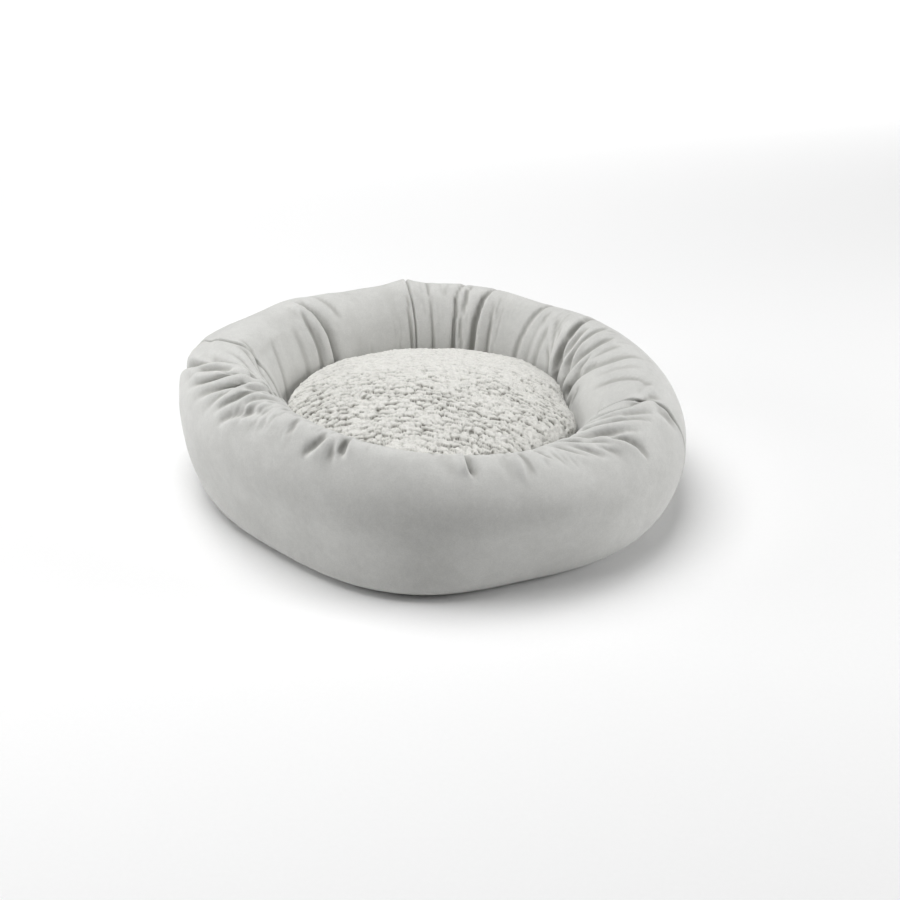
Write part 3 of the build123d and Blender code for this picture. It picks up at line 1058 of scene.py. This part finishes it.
@dataclass
class Cover:
    """The velour cover: three panels of one settled cloth, sewn together across the ring."""

    seams: dict[str, tuple[float, float]] = field(default_factory=lambda: {
        "front": (165.0, 346.0), "back_left": (97.0, 165.0), "back_right": (346.0, 457.0)})
    seam_depth: float = 3.2
    seam_width: float = 1.3
    swell_height: float = 0.7
    swell_offset: float = 3.4
    swell_width: float = 2.2
    edge_columns: tuple[float, ...] = (0.0, 0.18, 0.4, 0.7)

    def build(self, cloth: CoverCloth) -> list[Piece]:
        """Settle the cloth, cut it at its seams and make the panels.

        Args:
            cloth: the cover's sheet.
        Returns:
            The three panels.
        """
        folds = LEFT_FOLDS + BACK_FOLDS + RIGHT_FOLDS + FRONT_FOLDS
        points = cloth.settle_cloth(folds)
        pressed = tuple(Fold(f.path, f.depth * f.kept, f.width, f.lie, f.is_open) for f in folds)
        direction = unit(0.5 * cloth.normal + 0.5 * cloth.outward(points))
        points = points + cloth.relief(pressed)[..., None] * direction
        cloth.hold(points)
        painted_fold_shade = self.painted_fold_shade(points, cloth)
        return [self.panel(name, *ends, points, painted_fold_shade, cloth) for name, ends in self.seams.items()]

    @staticmethod
    def painted_fold_shade(points: Array, cloth: CoverCloth) -> Array:
        """How far each point lies in a fold, from how its neighbours stand above it, as painted shade.

        Args:
            points: the settled cloth.
            cloth: the cover's sheet.
        Returns:
            A share from 0 to 1 for each point.
        """
        normal = cloth.outward(points)
        deep = np.zeros(points.shape[:2])
        for step in (2, 4):
            middle = (np.roll(points, step, 0) + np.roll(points, -step, 0)) / 2
            deep += ((middle - points) * normal).sum(-1) / (step * 1.2)
        return np.clip(deep - 0.12, 0, 1) ** 0.8 * 0.55

    def panel(self, name: str, start: float, end: float, points: Array, painted_fold_shade: Array,
              cloth: CoverCloth) -> Piece:
        """Cut one panel, with finer columns and a tucked edge at each of its seams.

        Args:
            name: the panel's name.
            start: the angle of its first seam, in degrees.
            end: the angle of its last seam.
            points: the settled cloth.
            painted_fold_shade: the painted shade of each point, from how deep it lies in a fold.
            cloth: the cover's sheet.
        Returns:
            The panel.
        """
        per_degree = cloth.columns / 360
        first, last = round(start * per_degree), round(end * per_degree)
        inner = np.arange(first + 1, last, dtype=float)
        edge = np.array(self.edge_columns)
        columns = np.concatenate([first + edge, inner, last - edge[::-1]])
        whole = np.floor(columns).astype(int)
        part = (columns - whole)[:, None, None]
        before, here, after, beyond = (points[(whole + k) % cloth.columns] for k in (-1, 0, 1, 2))
        bend = 2 * here + (after - before) * part + (2 * before - 5 * here + 4 * after - beyond) * part**2
        shape = 0.5 * (bend + (3 * here - before - 3 * after + beyond) * part**3)
        deep = painted_fold_shade[whole % cloth.columns] * (1 - part[..., 0])
        deep += painted_fold_shade[(whole + 1) % cloth.columns] * part[..., 0]
        spacing = cloth.across.mean(0)[None, :]
        gap = np.minimum(columns - first, last - columns)[:, None] * spacing
        tuck = self.seam_depth * bell(gap, self.seam_width)
        swell = self.swell_height * bell(gap - self.swell_offset, self.swell_width)
        fade = np.minimum(smooth(cloth.share, 0.01, 0.06), 1 - smooth(cloth.share, 0.95, 1))
        normal = unit(np.cross(np.gradient(shape, axis=0), np.gradient(shape, axis=1)))
        shape = shape + ((swell - tuck) * fade)[..., None] * normal
        built = Shape()
        built.add(shape, grid_faces(len(columns), cloth.rows + 1))
        piece = built.piece(f"cover_panel_{name}")
        # painted shade: darker deep in folds, and in a thin line along each seam's tuck
        add_attribute(piece, "painted_fold_shade", np.clip(deep + 0.5 * bell(gap, 1.0) * fade, 0, 1))
        refine(piece)
        settle(piece, Body.BED, "cover_velour", VELOUR, f"bolster_panel_{name}")
        return piece


# Round layers and fillings


@dataclass
class RoundLayers:
    """The flat round layers under the well, and the ring's own fibre."""

    sides: int = 192

    def turned(self, outline: Array, lumps: float, size: float, seed: int) -> Array:
        """Turn an outline of (radius, height) about the bed's axis, with soft lumps.

        Args:
            outline: the outline's points.
            lumps: how high the lumps are.
            size: how wide they are.
            seed: which lumps.
        Returns:
            The points, by column and row.
        """
        angle = full_turn(self.sides)
        walked = walked_along(*outline.T)
        ring = outline[:, 0].mean()
        around = np.stack([np.cos(angle), np.sin(angle)], -1)[:, None, :] * (ring + walked[None, :, None])
        swell = lumps * lattice_noise(around, size, seed)
        flat = np.gradient(outline, axis=0)
        normal = unit(np.stack([flat[:, 1], -flat[:, 0]], -1))
        radius = outline[None, :, 0] + swell * normal[None, :, 0]
        height = outline[None, :, 1] + swell * normal[None, :, 1]
        return around_axis(radius, angle[:, None], height)

    def disc(self, radius: float, low: float, high: float, dimple: float = 0.0, seed: int = 10) -> Shape:
        """A closed, softly dimpled round layer.

        Args:
            radius: its radius.
            low: its underside's height.
            high: its top's height.
            dimple: how deep its top is dimpled.
            seed: which dimples.
        Returns:
            The layer's shape.
        """
        rings = np.linspace(0.6, radius - 0.5, 24)
        edge = min(0.5, (high - low) / 2)
        outline = np.array(
            [(r, low + edge * 0.2) for r in rings[:-1]]
            + [(radius - edge, low), (radius, low + edge), (radius, high - edge), (radius - edge, high)]
            + [(r, high) for r in rings[-2::-1]])
        points = self.turned(outline, 0.0, 20.0, 3)
        inside = smooth(radius - np.hypot(points[..., 0], points[..., 1]), 2, 16)
        dent = dimple * inside * (0.5 - 0.5 * lattice_noise(points[..., :2], 22.0, seed))
        top = smooth(points[..., 2], (low + high) / 2 - 0.01, (low + high) / 2 + 0.01)
        points[..., 2] -= dent * top
        shape = Shape()
        shape.add_turned(points)
        return shape

    def build(self, cloth: CoverCloth) -> None:
        """Make the base, its wadding, the well's floor, the elastic and the ring's fibre.

        Args:
            cloth: the cover's sheet.
        """
        self.build_base(cloth.form[:, 0])
        for name, slot, finish, node, dimple, seed in (
                ("wadding_pad", "wadding", WADDING, "base_wadding", 0.9, 11),
                ("well_floor", "floor_cloth", FLOOR_CLOTH, "floor_panel", 0.35, 10)):
            low, high = box_mm(node)
            piece = self.disc(high.x, low.z, high.z, dimple, seed).piece(name)
            settle(piece, Body.BED, slot, finish, node)
            if node == "floor_panel":
                self.declare_round(piece, high.x, "stretched", ["wadding_pad"])
        self.build_elastic()
        self.build_fibre(cloth.form)

    @staticmethod
    def declare_round(piece: Piece, radius: float, held: str, rests_on: list[str]) -> None:
        """Take a round cloth, cut as a disc of this radius, and do nothing with it."""

    def build_base(self, seam: Array) -> None:
        """The underside's cloth, and the rubbery grip dots that it stands on.

        Args:
            seam: the points of the cover's base seam.
        """
        low, high = box_mm("base_panel")
        dot_height, dot_radius, pitch = 0.5, 1.7, 13.0
        seam_angle = np.degrees(np.arctan2(seam[:, 1], seam[:, 0]))
        order = np.argsort(seam_angle)
        reach = np.hypot(seam[:, 0], seam[:, 1]) / high.x

        def narrowed(points: Array) -> Array:
            """Move points of a true disc to the seam's outline."""
            around = np.degrees(np.arctan2(points[..., 1], points[..., 0]))
            share = np.interp(around, seam_angle[order], reach[order], period=360)
            return points * np.stack([share, share, np.ones_like(share)], -1)

        shape = self.disc(high.x, low.z + dot_height, high.z)
        shape.points = [narrowed(part) for part in shape.points]
        piece = shape.piece("base_cloth")
        settle(piece, Body.BED, "base_cloth", BASE_CLOTH, "base_panel")
        self.declare_round(piece, high.x, "stretched", [])
        dots = Shape()
        angle = full_turn(10)
        rings = ((dot_radius, dot_height + 0.1), (dot_radius * 0.86, 0.2), (dot_radius * 0.5, 0.03))
        count = int(high.x / pitch) + 1
        for across in range(-count, count + 1):
            for along in range(-count, count + 1):
                x = (across + 0.5 * (along % 2)) * pitch
                y = along * pitch * 0.866
                if math.hypot(x, y) > high.x - 12:
                    continue
                points = np.array([[(x + r * math.cos(a), y + r * math.sin(a), z) for r, z in rings]
                                   for a in angle])
                start = dots.count
                dots.add(points, grid_faces(10, 3, closed=True)[:, ::-1])
                dots.add_cap([start + column * 3 + 2 for column in range(10)][::-1])
        dots.points = [narrowed(part) for part in dots.points]
        piece = dots.piece("grip_dots")
        settle(piece, Body.BED, "base_cloth", GRIP)

    def build_elastic(self) -> None:
        """The flat elastic along the inner seam, in small waves where it gathers the cover."""
        low, high = box_mm("inner_seam_elastic")
        width, sides = ELASTIC_WIDTH, 720
        angle = full_turn(sides)
        wave = 0.25 * np.sin(angle * 90) * (0.6 + 0.4 * np.sin(angle * 7))
        profile = ((0.3, 0.0), (0.0, 0.35), (0.3, 1.0), (3.0, 0.8), (5.7, 1.0), (6.0, 0.35), (5.7, 0.0))
        deep = high.z - low.z
        rows = [around_axis(high.x - width + across, angle, low.z + deep * up * (0.8 + wave * 0.8))
                for across, up in profile]
        points = np.stack(rows, 1)
        shape = Shape()
        shape.add(points, grid_faces(sides, len(profile), closed=True, looped=True)[:, ::-1])
        piece = shape.piece("seam_elastic")
        settle(piece, Body.BED, "elastic", ELASTIC, "inner_seam_elastic")

    def build_fibre(self, form: Array) -> None:
        """The ring's loose fibre, well inside its cover.

        Args:
            form: the filled ring's points, by column and row.
        """
        form = form[::2, ::2]
        middle = (form.max(1, keepdims=True) + form.min(1, keepdims=True)) / 2
        middle[..., :2] = form[..., :2].mean(1, keepdims=True)
        points = middle + (form - middle) * 0.74
        inward = unit(points - middle)
        places = np.stack([np.arctan2(form[..., 1], form[..., 0]) * 200, form[..., 2] * 2], -1)
        points += 2.0 * lattice_noise(places, 18.0, 11)[..., None] * inward
        shape = Shape()
        shape.add(points, grid_faces(*points.shape[:2], closed=True, looped=True))
        piece = shape.piece("bolster_fibre")
        settle(piece, Body.BED, "fibre", FIBRE, "bolster_fill")


@dataclass
class CareLabel:
    """A blank satin label, folded over and sewn in the base seam."""

    angle: float = 60.0
    width: float = 29.0
    reach: float = 22.0

    def build(self) -> None:
        """Make the folded label."""
        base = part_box("base_panel")[1].x / MM
        along = np.linspace(0, 1, 12)
        lift = 0.3 + 1.6 * np.sin(along * math.pi * 0.5) ** 2
        under = [(base - 2 + share * self.reach, rise) for share, rise in zip(along, lift)]
        top = [(reach, rise + 0.45) for reach, rise in under]
        outline = top + [(base + self.reach - 1.4, lift[-1] + 0.22)] + under[::-1]
        across = np.linspace(-self.width / 2, self.width / 2, 9)
        turned = math.radians(self.angle)
        reach, height = np.array(outline).T
        offset = across[:, None]
        ripple = 0.35 * np.cos(offset / 5.0) * np.maximum((reach - base) / self.reach, 0)
        points = np.stack([reach * math.cos(turned) - offset * math.sin(turned),
                           reach * math.sin(turned) + offset * math.cos(turned),
                           height + ripple], -1)
        shape = Shape()
        shape.add(points, grid_faces(len(across), len(outline)))
        piece = shape.piece("blank_care_label")
        settle(piece, Body.BED, "label_satin", LABEL, "care_label")


# The cushion


@dataclass
class Cushion:
    """The loose cushion: sherpa top, velour underside in two halves, liner and fibre."""

    radius: float = 145.9
    seam_radius: float = 143.5
    seam_height: float = 59.5
    edge_height: float = 92.0
    top_height: float = 110.0
    bottom_height: float = 14.5
    flat_radius: float = 118.5
    zip_offset: float = 30.0
    slot_half: float = 106.5
    dome_points: int = 80
    pitch: float = 1.15
    side_rings: int = 26
    quick_side_rings: int = 14

    def outline(self) -> tuple[Array, Array, Array]:
        """The sherpa top's section from its centre to its seam, finely drawn.

        Returns:
            The distance along the cloth, the radius and the height.
        """
        turn_in = np.linspace(0, math.pi / 2, self.dome_points)
        dome_r = (self.radius - 1) * np.sin(turn_in) ** 0.92
        dome_z = self.edge_height - 9 + (self.top_height - self.edge_height + 9) * np.cos(turn_in) ** 0.62
        down = np.linspace(0, 1, 30)[1:]
        top_r = self.radius - 1
        side_r = top_r + np.sin(down * math.pi) - (top_r - self.seam_radius) * down**2
        side_z = dome_z[-1] + (self.seam_height - dome_z[-1]) * down
        radius, height = np.concatenate([dome_r, side_r]), np.concatenate([dome_z, side_z])
        walked = walked_along(radius, height)
        return walked, radius, height

    def pile_height(self, flat: Array) -> tuple[Array, Array]:
        """The sherpa's clumps and clefts.

        Args:
            flat: places on the flat cloth.
        Returns:
            The pile's height in millimetres about its mean, and its painted shade, a brightness from 0
            in a cleft to 1 at the tips.
        """
        bent = flat.copy()
        bent[..., 1] += 0.0030 * (flat[..., 0] + 50) ** 2
        bent[..., 0] += 4.0 * lattice_noise(flat, 15, 21) + 1.4 * lattice_noise(flat, 5, 30)
        bent[..., 1] += 2.6 * lattice_noise(flat, 13, 22) + 0.9 * lattice_noise(flat, 5, 33)
        front = 0.25 + 0.75 * smooth(-flat[..., 1], -80, 20)
        near, following, behind = clump_distances(bent, (9.5, 8.6), 31)
        patches = lattice_noise(bent * (0.6, 1), 6.5, 23) + 0.3 * lattice_noise(flat, 3, 34)
        broken = smooth(patches, -0.3, 0.1)
        cleft = bell(following - near, 0.15) * (0.08 + 0.92 * broken) * front
        small_near, small_following, small_behind = clump_distances(bent + 40, (4.4, 4.2), 32)
        crack = bell(small_following - small_near, 0.20)
        crack *= 0.2 + 0.8 * smooth(lattice_noise(flat, 4.0, 35), -0.3, 0.3)
        fluff = 0.55 * lattice_noise(flat, 2.3, 24) + 0.45 * lattice_noise(flat, 1.3, 25)
        height = (1.0 * (0.6 - near**2) - 1.6 * behind) * front - 2.7 * cleft
        height += 0.6 * (0.5 - small_near) - 0.3 * small_behind - 0.6 * crack * (0.3 + 0.7 * front) + fluff
        # painted shade: clefts and cracks are painted darker, most on each clump's front side, as if lit
        # from behind
        shaded = smooth(-behind, -0.1, 0.5)
        painted_brightness = 1 - (0.35 + 0.65 * shaded) * cleft - 0.32 * crack * (0.25 + 0.75 * front) + 0.16 * fluff
        return height, np.clip(painted_brightness, 0, 1)

    def flat_rings(self, crown: float, end: float) -> tuple[Array, list[int]]:
        """Lay out the sherpa's points in rings on the flat cloth.

        Args:
            crown: how far the domed part reaches from the centre.
            end: how far the cloth reaches.
        Returns:
            The points from the centre outwards, and each ring's count.
        """
        top_rings = int(self.radius / self.pitch)
        side_rings = self.side_rings
        reach = [crown * (ring + 1) / top_rings for ring in range(top_rings)]
        reach += list(np.linspace(crown, end, side_rings + 1)[1:])
        counts = [6 * (ring + 1) for ring in range(top_rings)] + [6 * top_rings] * side_rings
        flats = [np.zeros((1, 2))]
        for distance, count in zip(reach, counts):
            angle = full_turn(count)
            flats.append(distance * np.stack([np.cos(angle), np.sin(angle)], -1))
        return np.concatenate(flats), counts

    def build_top(self) -> None:
        """The sherpa top, from its centre over the shoulder to its seam."""
        walked, radius_at, height_at = self.outline()
        crown = walked[self.dome_points - 1]
        flat, counts = self.flat_rings(crown, walked[-1])
        distance = np.hypot(flat[:, 0], flat[:, 1])
        direction = flat / np.maximum(distance, 1e-9)[:, None]
        radius = np.interp(distance, walked, radius_at)
        height = np.interp(distance, walked, height_at)
        slope_r = np.interp(distance, walked, np.gradient(radius_at, walked))
        slope_z = np.interp(distance, walked, np.gradient(height_at, walked))
        slack = 1.5 * lattice_noise(flat, 48, 28) + 0.8 * lattice_noise(flat, 25, 29)
        pile, painted_brightness = self.pile_height(flat)
        settled = 1 - smooth(distance, crown - 6, crown + 6)
        lift = (pile + slack) * (0.12 + 0.88 * settled) - 1.0
        lift *= 1 - smooth(distance, walked[-1] - 4, walked[-1])
        points = np.empty((len(flat), 3))
        points[:, :2] = direction * (radius - lift * slope_z)[:, None]
        points[:, 2] = height + lift * slope_r
        reached = np.hypot(points[:, 0], points[:, 1])
        points[:, :2] *= np.minimum(1, (self.radius + 0.2) / np.maximum(reached, 1))[:, None]
        around = np.degrees(np.arctan2(points[:, 1], points[:, 0]))
        squeeze = bumps(around, WELL_MOVES) * smooth(points[:, 2], self.seam_height + 2, 76)
        points[:, :2] *= (1 + squeeze / self.radius * (reached / self.radius) ** 2)[:, None]
        shape = Shape()
        shape.add(points, self.ring_faces(counts))
        piece = shape.piece("cushion_top_sherpa")
        add_attribute(piece, "pile", painted_brightness)
        settle(piece, Body.CUSHION, "sherpa", SHERPA, "cushion_top_panel")

    @staticmethod
    def ring_faces(counts: list[int]) -> list[list[int]]:
        """Triangles of a disc made of rings, whose counts of points grow outwards.

        Args:
            counts: how many points each ring has.
        Returns:
            The triangles, the centre being point 0.
        """
        faces = [[0, 1 + k, 1 + (k + 1) % counts[0]] for k in range(counts[0])]
        start = 1
        for inner, outer in zip(counts, counts[1:]):
            following = start + inner
            a = b = 0
            while a < inner or b < outer:
                ahead_in, ahead_out = (a + 1) / inner, (b + 1) / outer
                if b < outer and (a >= inner or ahead_out <= ahead_in + 1e-9):
                    faces.append([start + a % inner, following + b, following + (b + 1) % outer])
                    b += 1
                else:
                    faces.append([start + a, following + b % outer, start + (a + 1) % inner])
                    a += 1
            start = following
        return faces

    def underside(self, radius: Array) -> Array:
        """The underside's height at a radius: flat, then up round the corner to the seam."""
        share = np.clip((radius - self.flat_radius) / (self.seam_radius - self.flat_radius), 0, 1)
        rise = self.seam_height - self.bottom_height
        return self.bottom_height + rise * (1 - np.sqrt(np.maximum(1 - share**2, 0)))

    def build_half(self, name: str, sign: int) -> None:
        """One half of the underside, from the zip to the side seam.

        Args:
            name: front or rear.
            sign: -1 for the front half and 1 for the rear.
        """
        columns, rows = 260, 60
        line = self.zip_offset
        edge_angle = math.asin(line / self.seam_radius)
        if sign < 0:
            angle = np.linspace(-math.pi - edge_angle, edge_angle, columns)
        else:
            angle = np.linspace(math.pi - edge_angle, edge_angle, columns)
        rim = self.seam_radius * np.stack([np.cos(angle), np.sin(angle)], -1)
        share_x = np.sin(np.linspace(-math.pi / 2, math.pi / 2, columns)) * 0.35
        share_x += np.linspace(-1, 1, columns) * 0.65
        reach = self.seam_radius * math.cos(edge_angle)
        slot = 1 - smooth(np.abs(share_x * reach), self.slot_half, self.slot_half + 5.5)
        zip_line = np.stack([share_x * reach, line + sign * (0.5 + 6.2 * slot)], -1)
        share = np.concatenate([[0.0, 0.004, 0.01, 0.018, 0.03], np.linspace(0.05, 1, rows - 5)])
        plan = zip_line[:, None, :] * (1 - share[None, :, None]) + rim[:, None, :] * share[None, :, None]
        radius = np.hypot(plan[..., 0], plan[..., 1])
        height = self.underside(np.minimum(radius, self.seam_radius))
        from_zip = sign * (plan[..., 1] - zip_line[:, None, 1])
        turned_up = (5.0 * slot[:, None] + 1.2) * bell(from_zip, 0.9 + 0.6 * slot[:, None])
        inside = smooth(self.seam_radius - radius, 1, 12)
        puff = 1.0 * lattice_noise(plan, 34, 41 + sign) + 0.5 * lattice_noise(plan, 14, 44 + sign)
        around = np.arctan2(plan[..., 1], plan[..., 0])
        pucker = np.sin(around * 52 + 9 * lattice_noise(plan, 30, 47))
        pucker *= smooth(lattice_noise(plan, 17, 48), -0.6, 0.7)
        near_seam = smooth(radius, self.seam_radius - 14, self.seam_radius - 1)
        away = np.minimum(1, (self.seam_height - height) / 8)
        lift = (0.9 + 0.8 * puff) * inside * smooth(from_zip, 1, 14)
        height = height + turned_up * smooth(self.seam_radius - radius, 0, 20) + lift
        widen = 1 - (0.004 * pucker + 0.002) * near_seam * away
        points = np.concatenate([plan * widen[..., None], height[..., None]], -1)
        shape = Shape()
        faces = grid_faces(columns, rows)
        shape.add(points, faces if sign > 0 else faces[:, ::-1])
        piece = shape.piece(f"cushion_underside_{name}")
        # painted shade: darker in the groove beside the zip, and between the puckers near the seam
        groove = bell(from_zip - 2.6, 0.8) * 0.3
        add_attribute(piece, "painted_fold_shade", np.clip(groove + 0.25 * near_seam * (0.5 - 0.5 * pucker), 0, 1))
        settle(piece, Body.CUSHION, "cover_velour", VELOUR, f"cushion_base_panel_{name}")

    def build_inside(self) -> None:
        """The liner bag and the fibre in it."""
        layers = RoundLayers(sides=144)
        for name, slot, finish, node, inset, lumps, fill in (
                ("cushion_lining", "liner_cloth", LINER_CLOTH, "cushion_liner", 9.5, 1.2, 0.9),
                ("cushion_fibre", "fibre", FIBRE, "cushion_fill", 13.0, 1.6, 0.8)):
            _, radius, height = self.outline()
            keep = slice(2, None, 5)
            top = np.stack([radius[keep] * (1 - inset / self.radius), height[keep] - inset * 0.9], -1)
            low_radius = np.linspace(self.seam_radius - inset, 1.0, 24)
            low = self.underside(low_radius + inset * 0.6) + inset * 0.75 + 1.5
            bottom = np.stack([low_radius, np.minimum(low, self.seam_height - 2)], -1)
            outline = np.concatenate([top, bottom])[::-1]
            points = layers.turned(outline, lumps, 20.0, 51)
            shape = Shape()
            shape.add_turned(points)
            piece = shape.piece(name)
            settle(piece, Body.CUSHION, slot, finish, node)

    def build(self) -> None:
        """Make all of the cushion's pieces but its zip."""
        self.build_top()
        self.build_half("front", -1)
        self.build_half("rear", 1)
        self.build_inside()


@dataclass
class Zip:
    """The zip across the cushion's underside, with its coil closed."""

    offset: float = 30.0
    pitch: float = 1.27
    wire_radius: float = 0.26
    coil_middle: float = 1.8
    coil_half: float = 0.84
    tape_bow: float = 0.08
    stitch_length: float = 2.2
    stitch_gap: float = 1.0
    stitch_offset: float = 10.2
    stitch_height: float = 15.05
    stitch_radius: float = 0.22

    def build(self) -> None:
        """Make the tapes, the coils and the stitches, and give the metal pieces their finish."""
        for name, sign in (("front", -1), ("rear", 1)):
            self.build_tape(name, sign)
            self.build_coil(name, sign)
        self.build_stitches()
        for node in ("zip_slider", "zip_pull", "zip_top_stops", "zip_bottom_stop"):
            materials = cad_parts[node].data.materials
            materials.clear()
            materials.append(METAL.material())
            log.info("%s: kept, in plated zinc", node)

    def build_tape(self, name: str, sign: int) -> None:
        """One woven tape, with a thicker corded edge beside the coil.

        Args:
            name: front or rear.
            sign: -1 for the front one and 1 for the rear.
        """
        low, high = box_mm(f"zip_tape_{name}")
        x = np.linspace(low.x + 0.05, high.x - 0.05, 216)
        inner, outer = (low.y, high.y) if sign > 0 else (high.y, low.y)
        width = abs(outer - inner)
        under = [(0.0, 0.15), (0.02, 0.0), (0.12, 0.0), (0.17, 0.10), (0.5, 0.12), (0.94, 0.10), (1.0, 0.2)]
        over = [(1.0, 0.35), (0.94, 0.48), (0.5, 0.46), (0.17, 0.48), (0.12, 0.6), (0.02, 0.6), (0.0, 0.45)]
        points = np.empty((len(x), len(under) + len(over), 3))
        for row, (across, up) in enumerate(under + over):
            ripple = self.tape_bow * np.sin(x / 4.1 + row * 0.05) * across
            points[:, row] = np.stack([x, inner + sign * (0.02 + across * (width - 0.04)) + 0 * x,
                                       low.z + up + ripple * 0.5 + 0 * x], -1)
        shape = Shape()
        rows = points.shape[1]
        shape.add(points, grid_faces(len(x), rows, looped=True)[:, ::sign])
        shape.add_cap(list(range(rows))[::-sign])
        shape.add_cap(list(range((len(x) - 1) * rows, len(x) * rows))[::sign])
        piece = shape.piece(f"woven_tape_{name}")
        settle(piece, Body.CUSHION, "zip_tape", TAPE_CLOTH, f"zip_tape_{name}")

    def build_coil(self, name: str, sign: int) -> None:
        """One nylon coil: a wound wire, flattened towards the tape, whose loops interlock.

        Args:
            name: front or rear.
            sign: -1 for the front one and 1 for the rear.
        """
        low, high = box_mm(f"zip_coil_{name}")
        length = high.x - low.x - 2 * self.wire_radius
        turns = int(length / self.pitch)
        phase = np.linspace(0, turns * 2 * math.pi, turns * 12)
        shift = 0.5 * self.pitch if sign > 0 else 0.0
        x = low.x + self.wire_radius + phase / (2 * math.pi) * (length - shift) / turns + shift
        middle = (low.z + high.z) / 2
        half = (high.z - low.z) / 2 - self.wire_radius
        y = self.offset + sign * (self.coil_middle - self.coil_half * np.cos(phase))
        z = middle + half * np.sin(phase)
        shape = Shape()
        shape.add_tube(np.stack([x, y, z], -1), self.wire_radius, 6)
        piece = shape.piece(f"coil_loops_{name}")
        settle(piece, Body.CUSHION, "zip_nylon", COIL, f"zip_coil_{name}")

    def build_stitches(self) -> None:
        """Two rows of lockstitch that hold the underside's halves to the tapes."""
        low, high = box_mm("zip_tape_rear")
        shape = Shape()
        step = self.stitch_length + self.stitch_gap
        for sign in (-1, 1):
            for number in range(int((high.x - low.x - 8) / step)):
                start = low.x + 4 + number * step
                share = np.linspace(0, 1, 6)
                line = np.stack([start + share * self.stitch_length,
                                 np.full(6, self.offset + sign * self.stitch_offset),
                                 self.stitch_height - 0.4 * np.sin(share * math.pi)], -1)
                shape.add_tube(line, self.stitch_radius, 6)
        piece = shape.piece("zip_stitches")
        settle(piece, Body.CUSHION, "cover_velour", LINER_CLOTH)


# Studio


@dataclass
class Studio:
    """The pale floor, the soft lights and the camera."""

    elevation: float = 26.0
    distance: float = 1.5
    target: tuple[float, float, float] = (0.0, 0.0, 0.07)
    lens: float = 58.4
    shift: tuple[float, float] = (0.0188, -0.0303)

    def light(self, name: str, place: tuple[float, float, float], size: tuple[float, float],
              power: float, aim: tuple[float, float, float] = (0.0, 0.0, 0.07),
              beam: float = 180.0) -> None:
        """Add a soft box.

        Args:
            name: the light's name.
            place: where it stands, in metres.
            size: its width and height, in metres.
            power: its power, in watts.
            aim: the point that it faces.
            beam: how wide its light opens, in degrees.
        """
        lamp = bpy.data.lights.new(name, "AREA")
        lamp.shape = "RECTANGLE"
        lamp.size, lamp.size_y = size
        lamp.energy = power
        lamp.spread = math.radians(beam)
        made = bpy.data.objects.new(name, lamp)
        bpy.context.scene.collection.objects.link(made)
        made.location = place
        towards = Vector(aim) - Vector(place)
        made.rotation_euler = towards.to_track_quat("-Z", "Y").to_euler()

    def build_camera(self) -> None:
        """Add the camera."""
        camera = bpy.data.cameras.new("studio_camera")
        camera.lens = self.lens
        camera.shift_x, camera.shift_y = self.shift
        made = bpy.data.objects.new("studio_camera", camera)
        bpy.context.scene.collection.objects.link(made)
        raised = math.radians(self.elevation)
        away = Vector((0, -math.cos(raised), math.sin(raised)))
        made.location = Vector(self.target) + self.distance * away
        made.rotation_euler = (-away).to_track_quat("-Z", "Y").to_euler()
        bpy.context.scene.camera = made

    def build(self) -> None:
        """Add the camera, the floor, the lights and a dim surround."""
        self.build_camera()
        shape = Shape()
        line = np.linspace(-9000, 9000, 25)
        x, y = np.meshgrid(line, line, indexing="ij")
        shape.add(np.stack([x, y, np.zeros_like(x)], -1), grid_faces(25, 25))
        floor = shape.piece("studio_floor")
        floor.data.materials.append(FLOOR_PAINT.material())
        self.light("top_softbox", (-0.5, 0.15, 2.15), (1.8, 1.8), 52.0)
        self.light("left_softbox", (-1.9, -0.1, 0.6), (0.9, 0.9), 12.0)
        self.light("right_softbox", (1.9, -0.15, 0.6), (0.9, 0.9), 20.0)
        self.light("far_softbox", (0.0, 3.1, 2.3), (6.0, 2.2), 110.0, (0.0, 3.2, 0.0), beam=92.0)
        world = bpy.data.worlds.new("studio_surround")
        world.use_nodes = True
        bpy.context.scene.world = world
        background = world.node_tree.nodes["Background"]
        background.inputs["Color"].default_value = (1, 1, 1, 1)
        background.inputs["Strength"].default_value = 0.04
        bpy.context.scene.view_settings.view_transform = "Standard"
        log.info("studio: camera at %.0f degrees", self.elevation)


def main() -> None:
    """Build the bed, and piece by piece."""
    logging.basicConfig(level=logging.INFO, format="%(name)s: %(message)s")
    Studio().build()
    panel_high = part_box("base_panel")[1] / MM
    floor_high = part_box("floor_panel")[1] / MM
    cloth = CoverCloth(
        outer_radius=CAD_BOX[1][0] / MM,
        base_seam_radius=panel_high.x,
        inner_seam_radius=floor_high.x - ELASTIC_WIDTH,
        base_seam_height=panel_high.z,
        inner_seam_height=floor_high.z,
    )
    Cover().build(cloth)
    RoundLayers().build(cloth)
    CareLabel().build()
    Cushion().build()
    Zip().build()


if __name__ == "__main__":
    main()
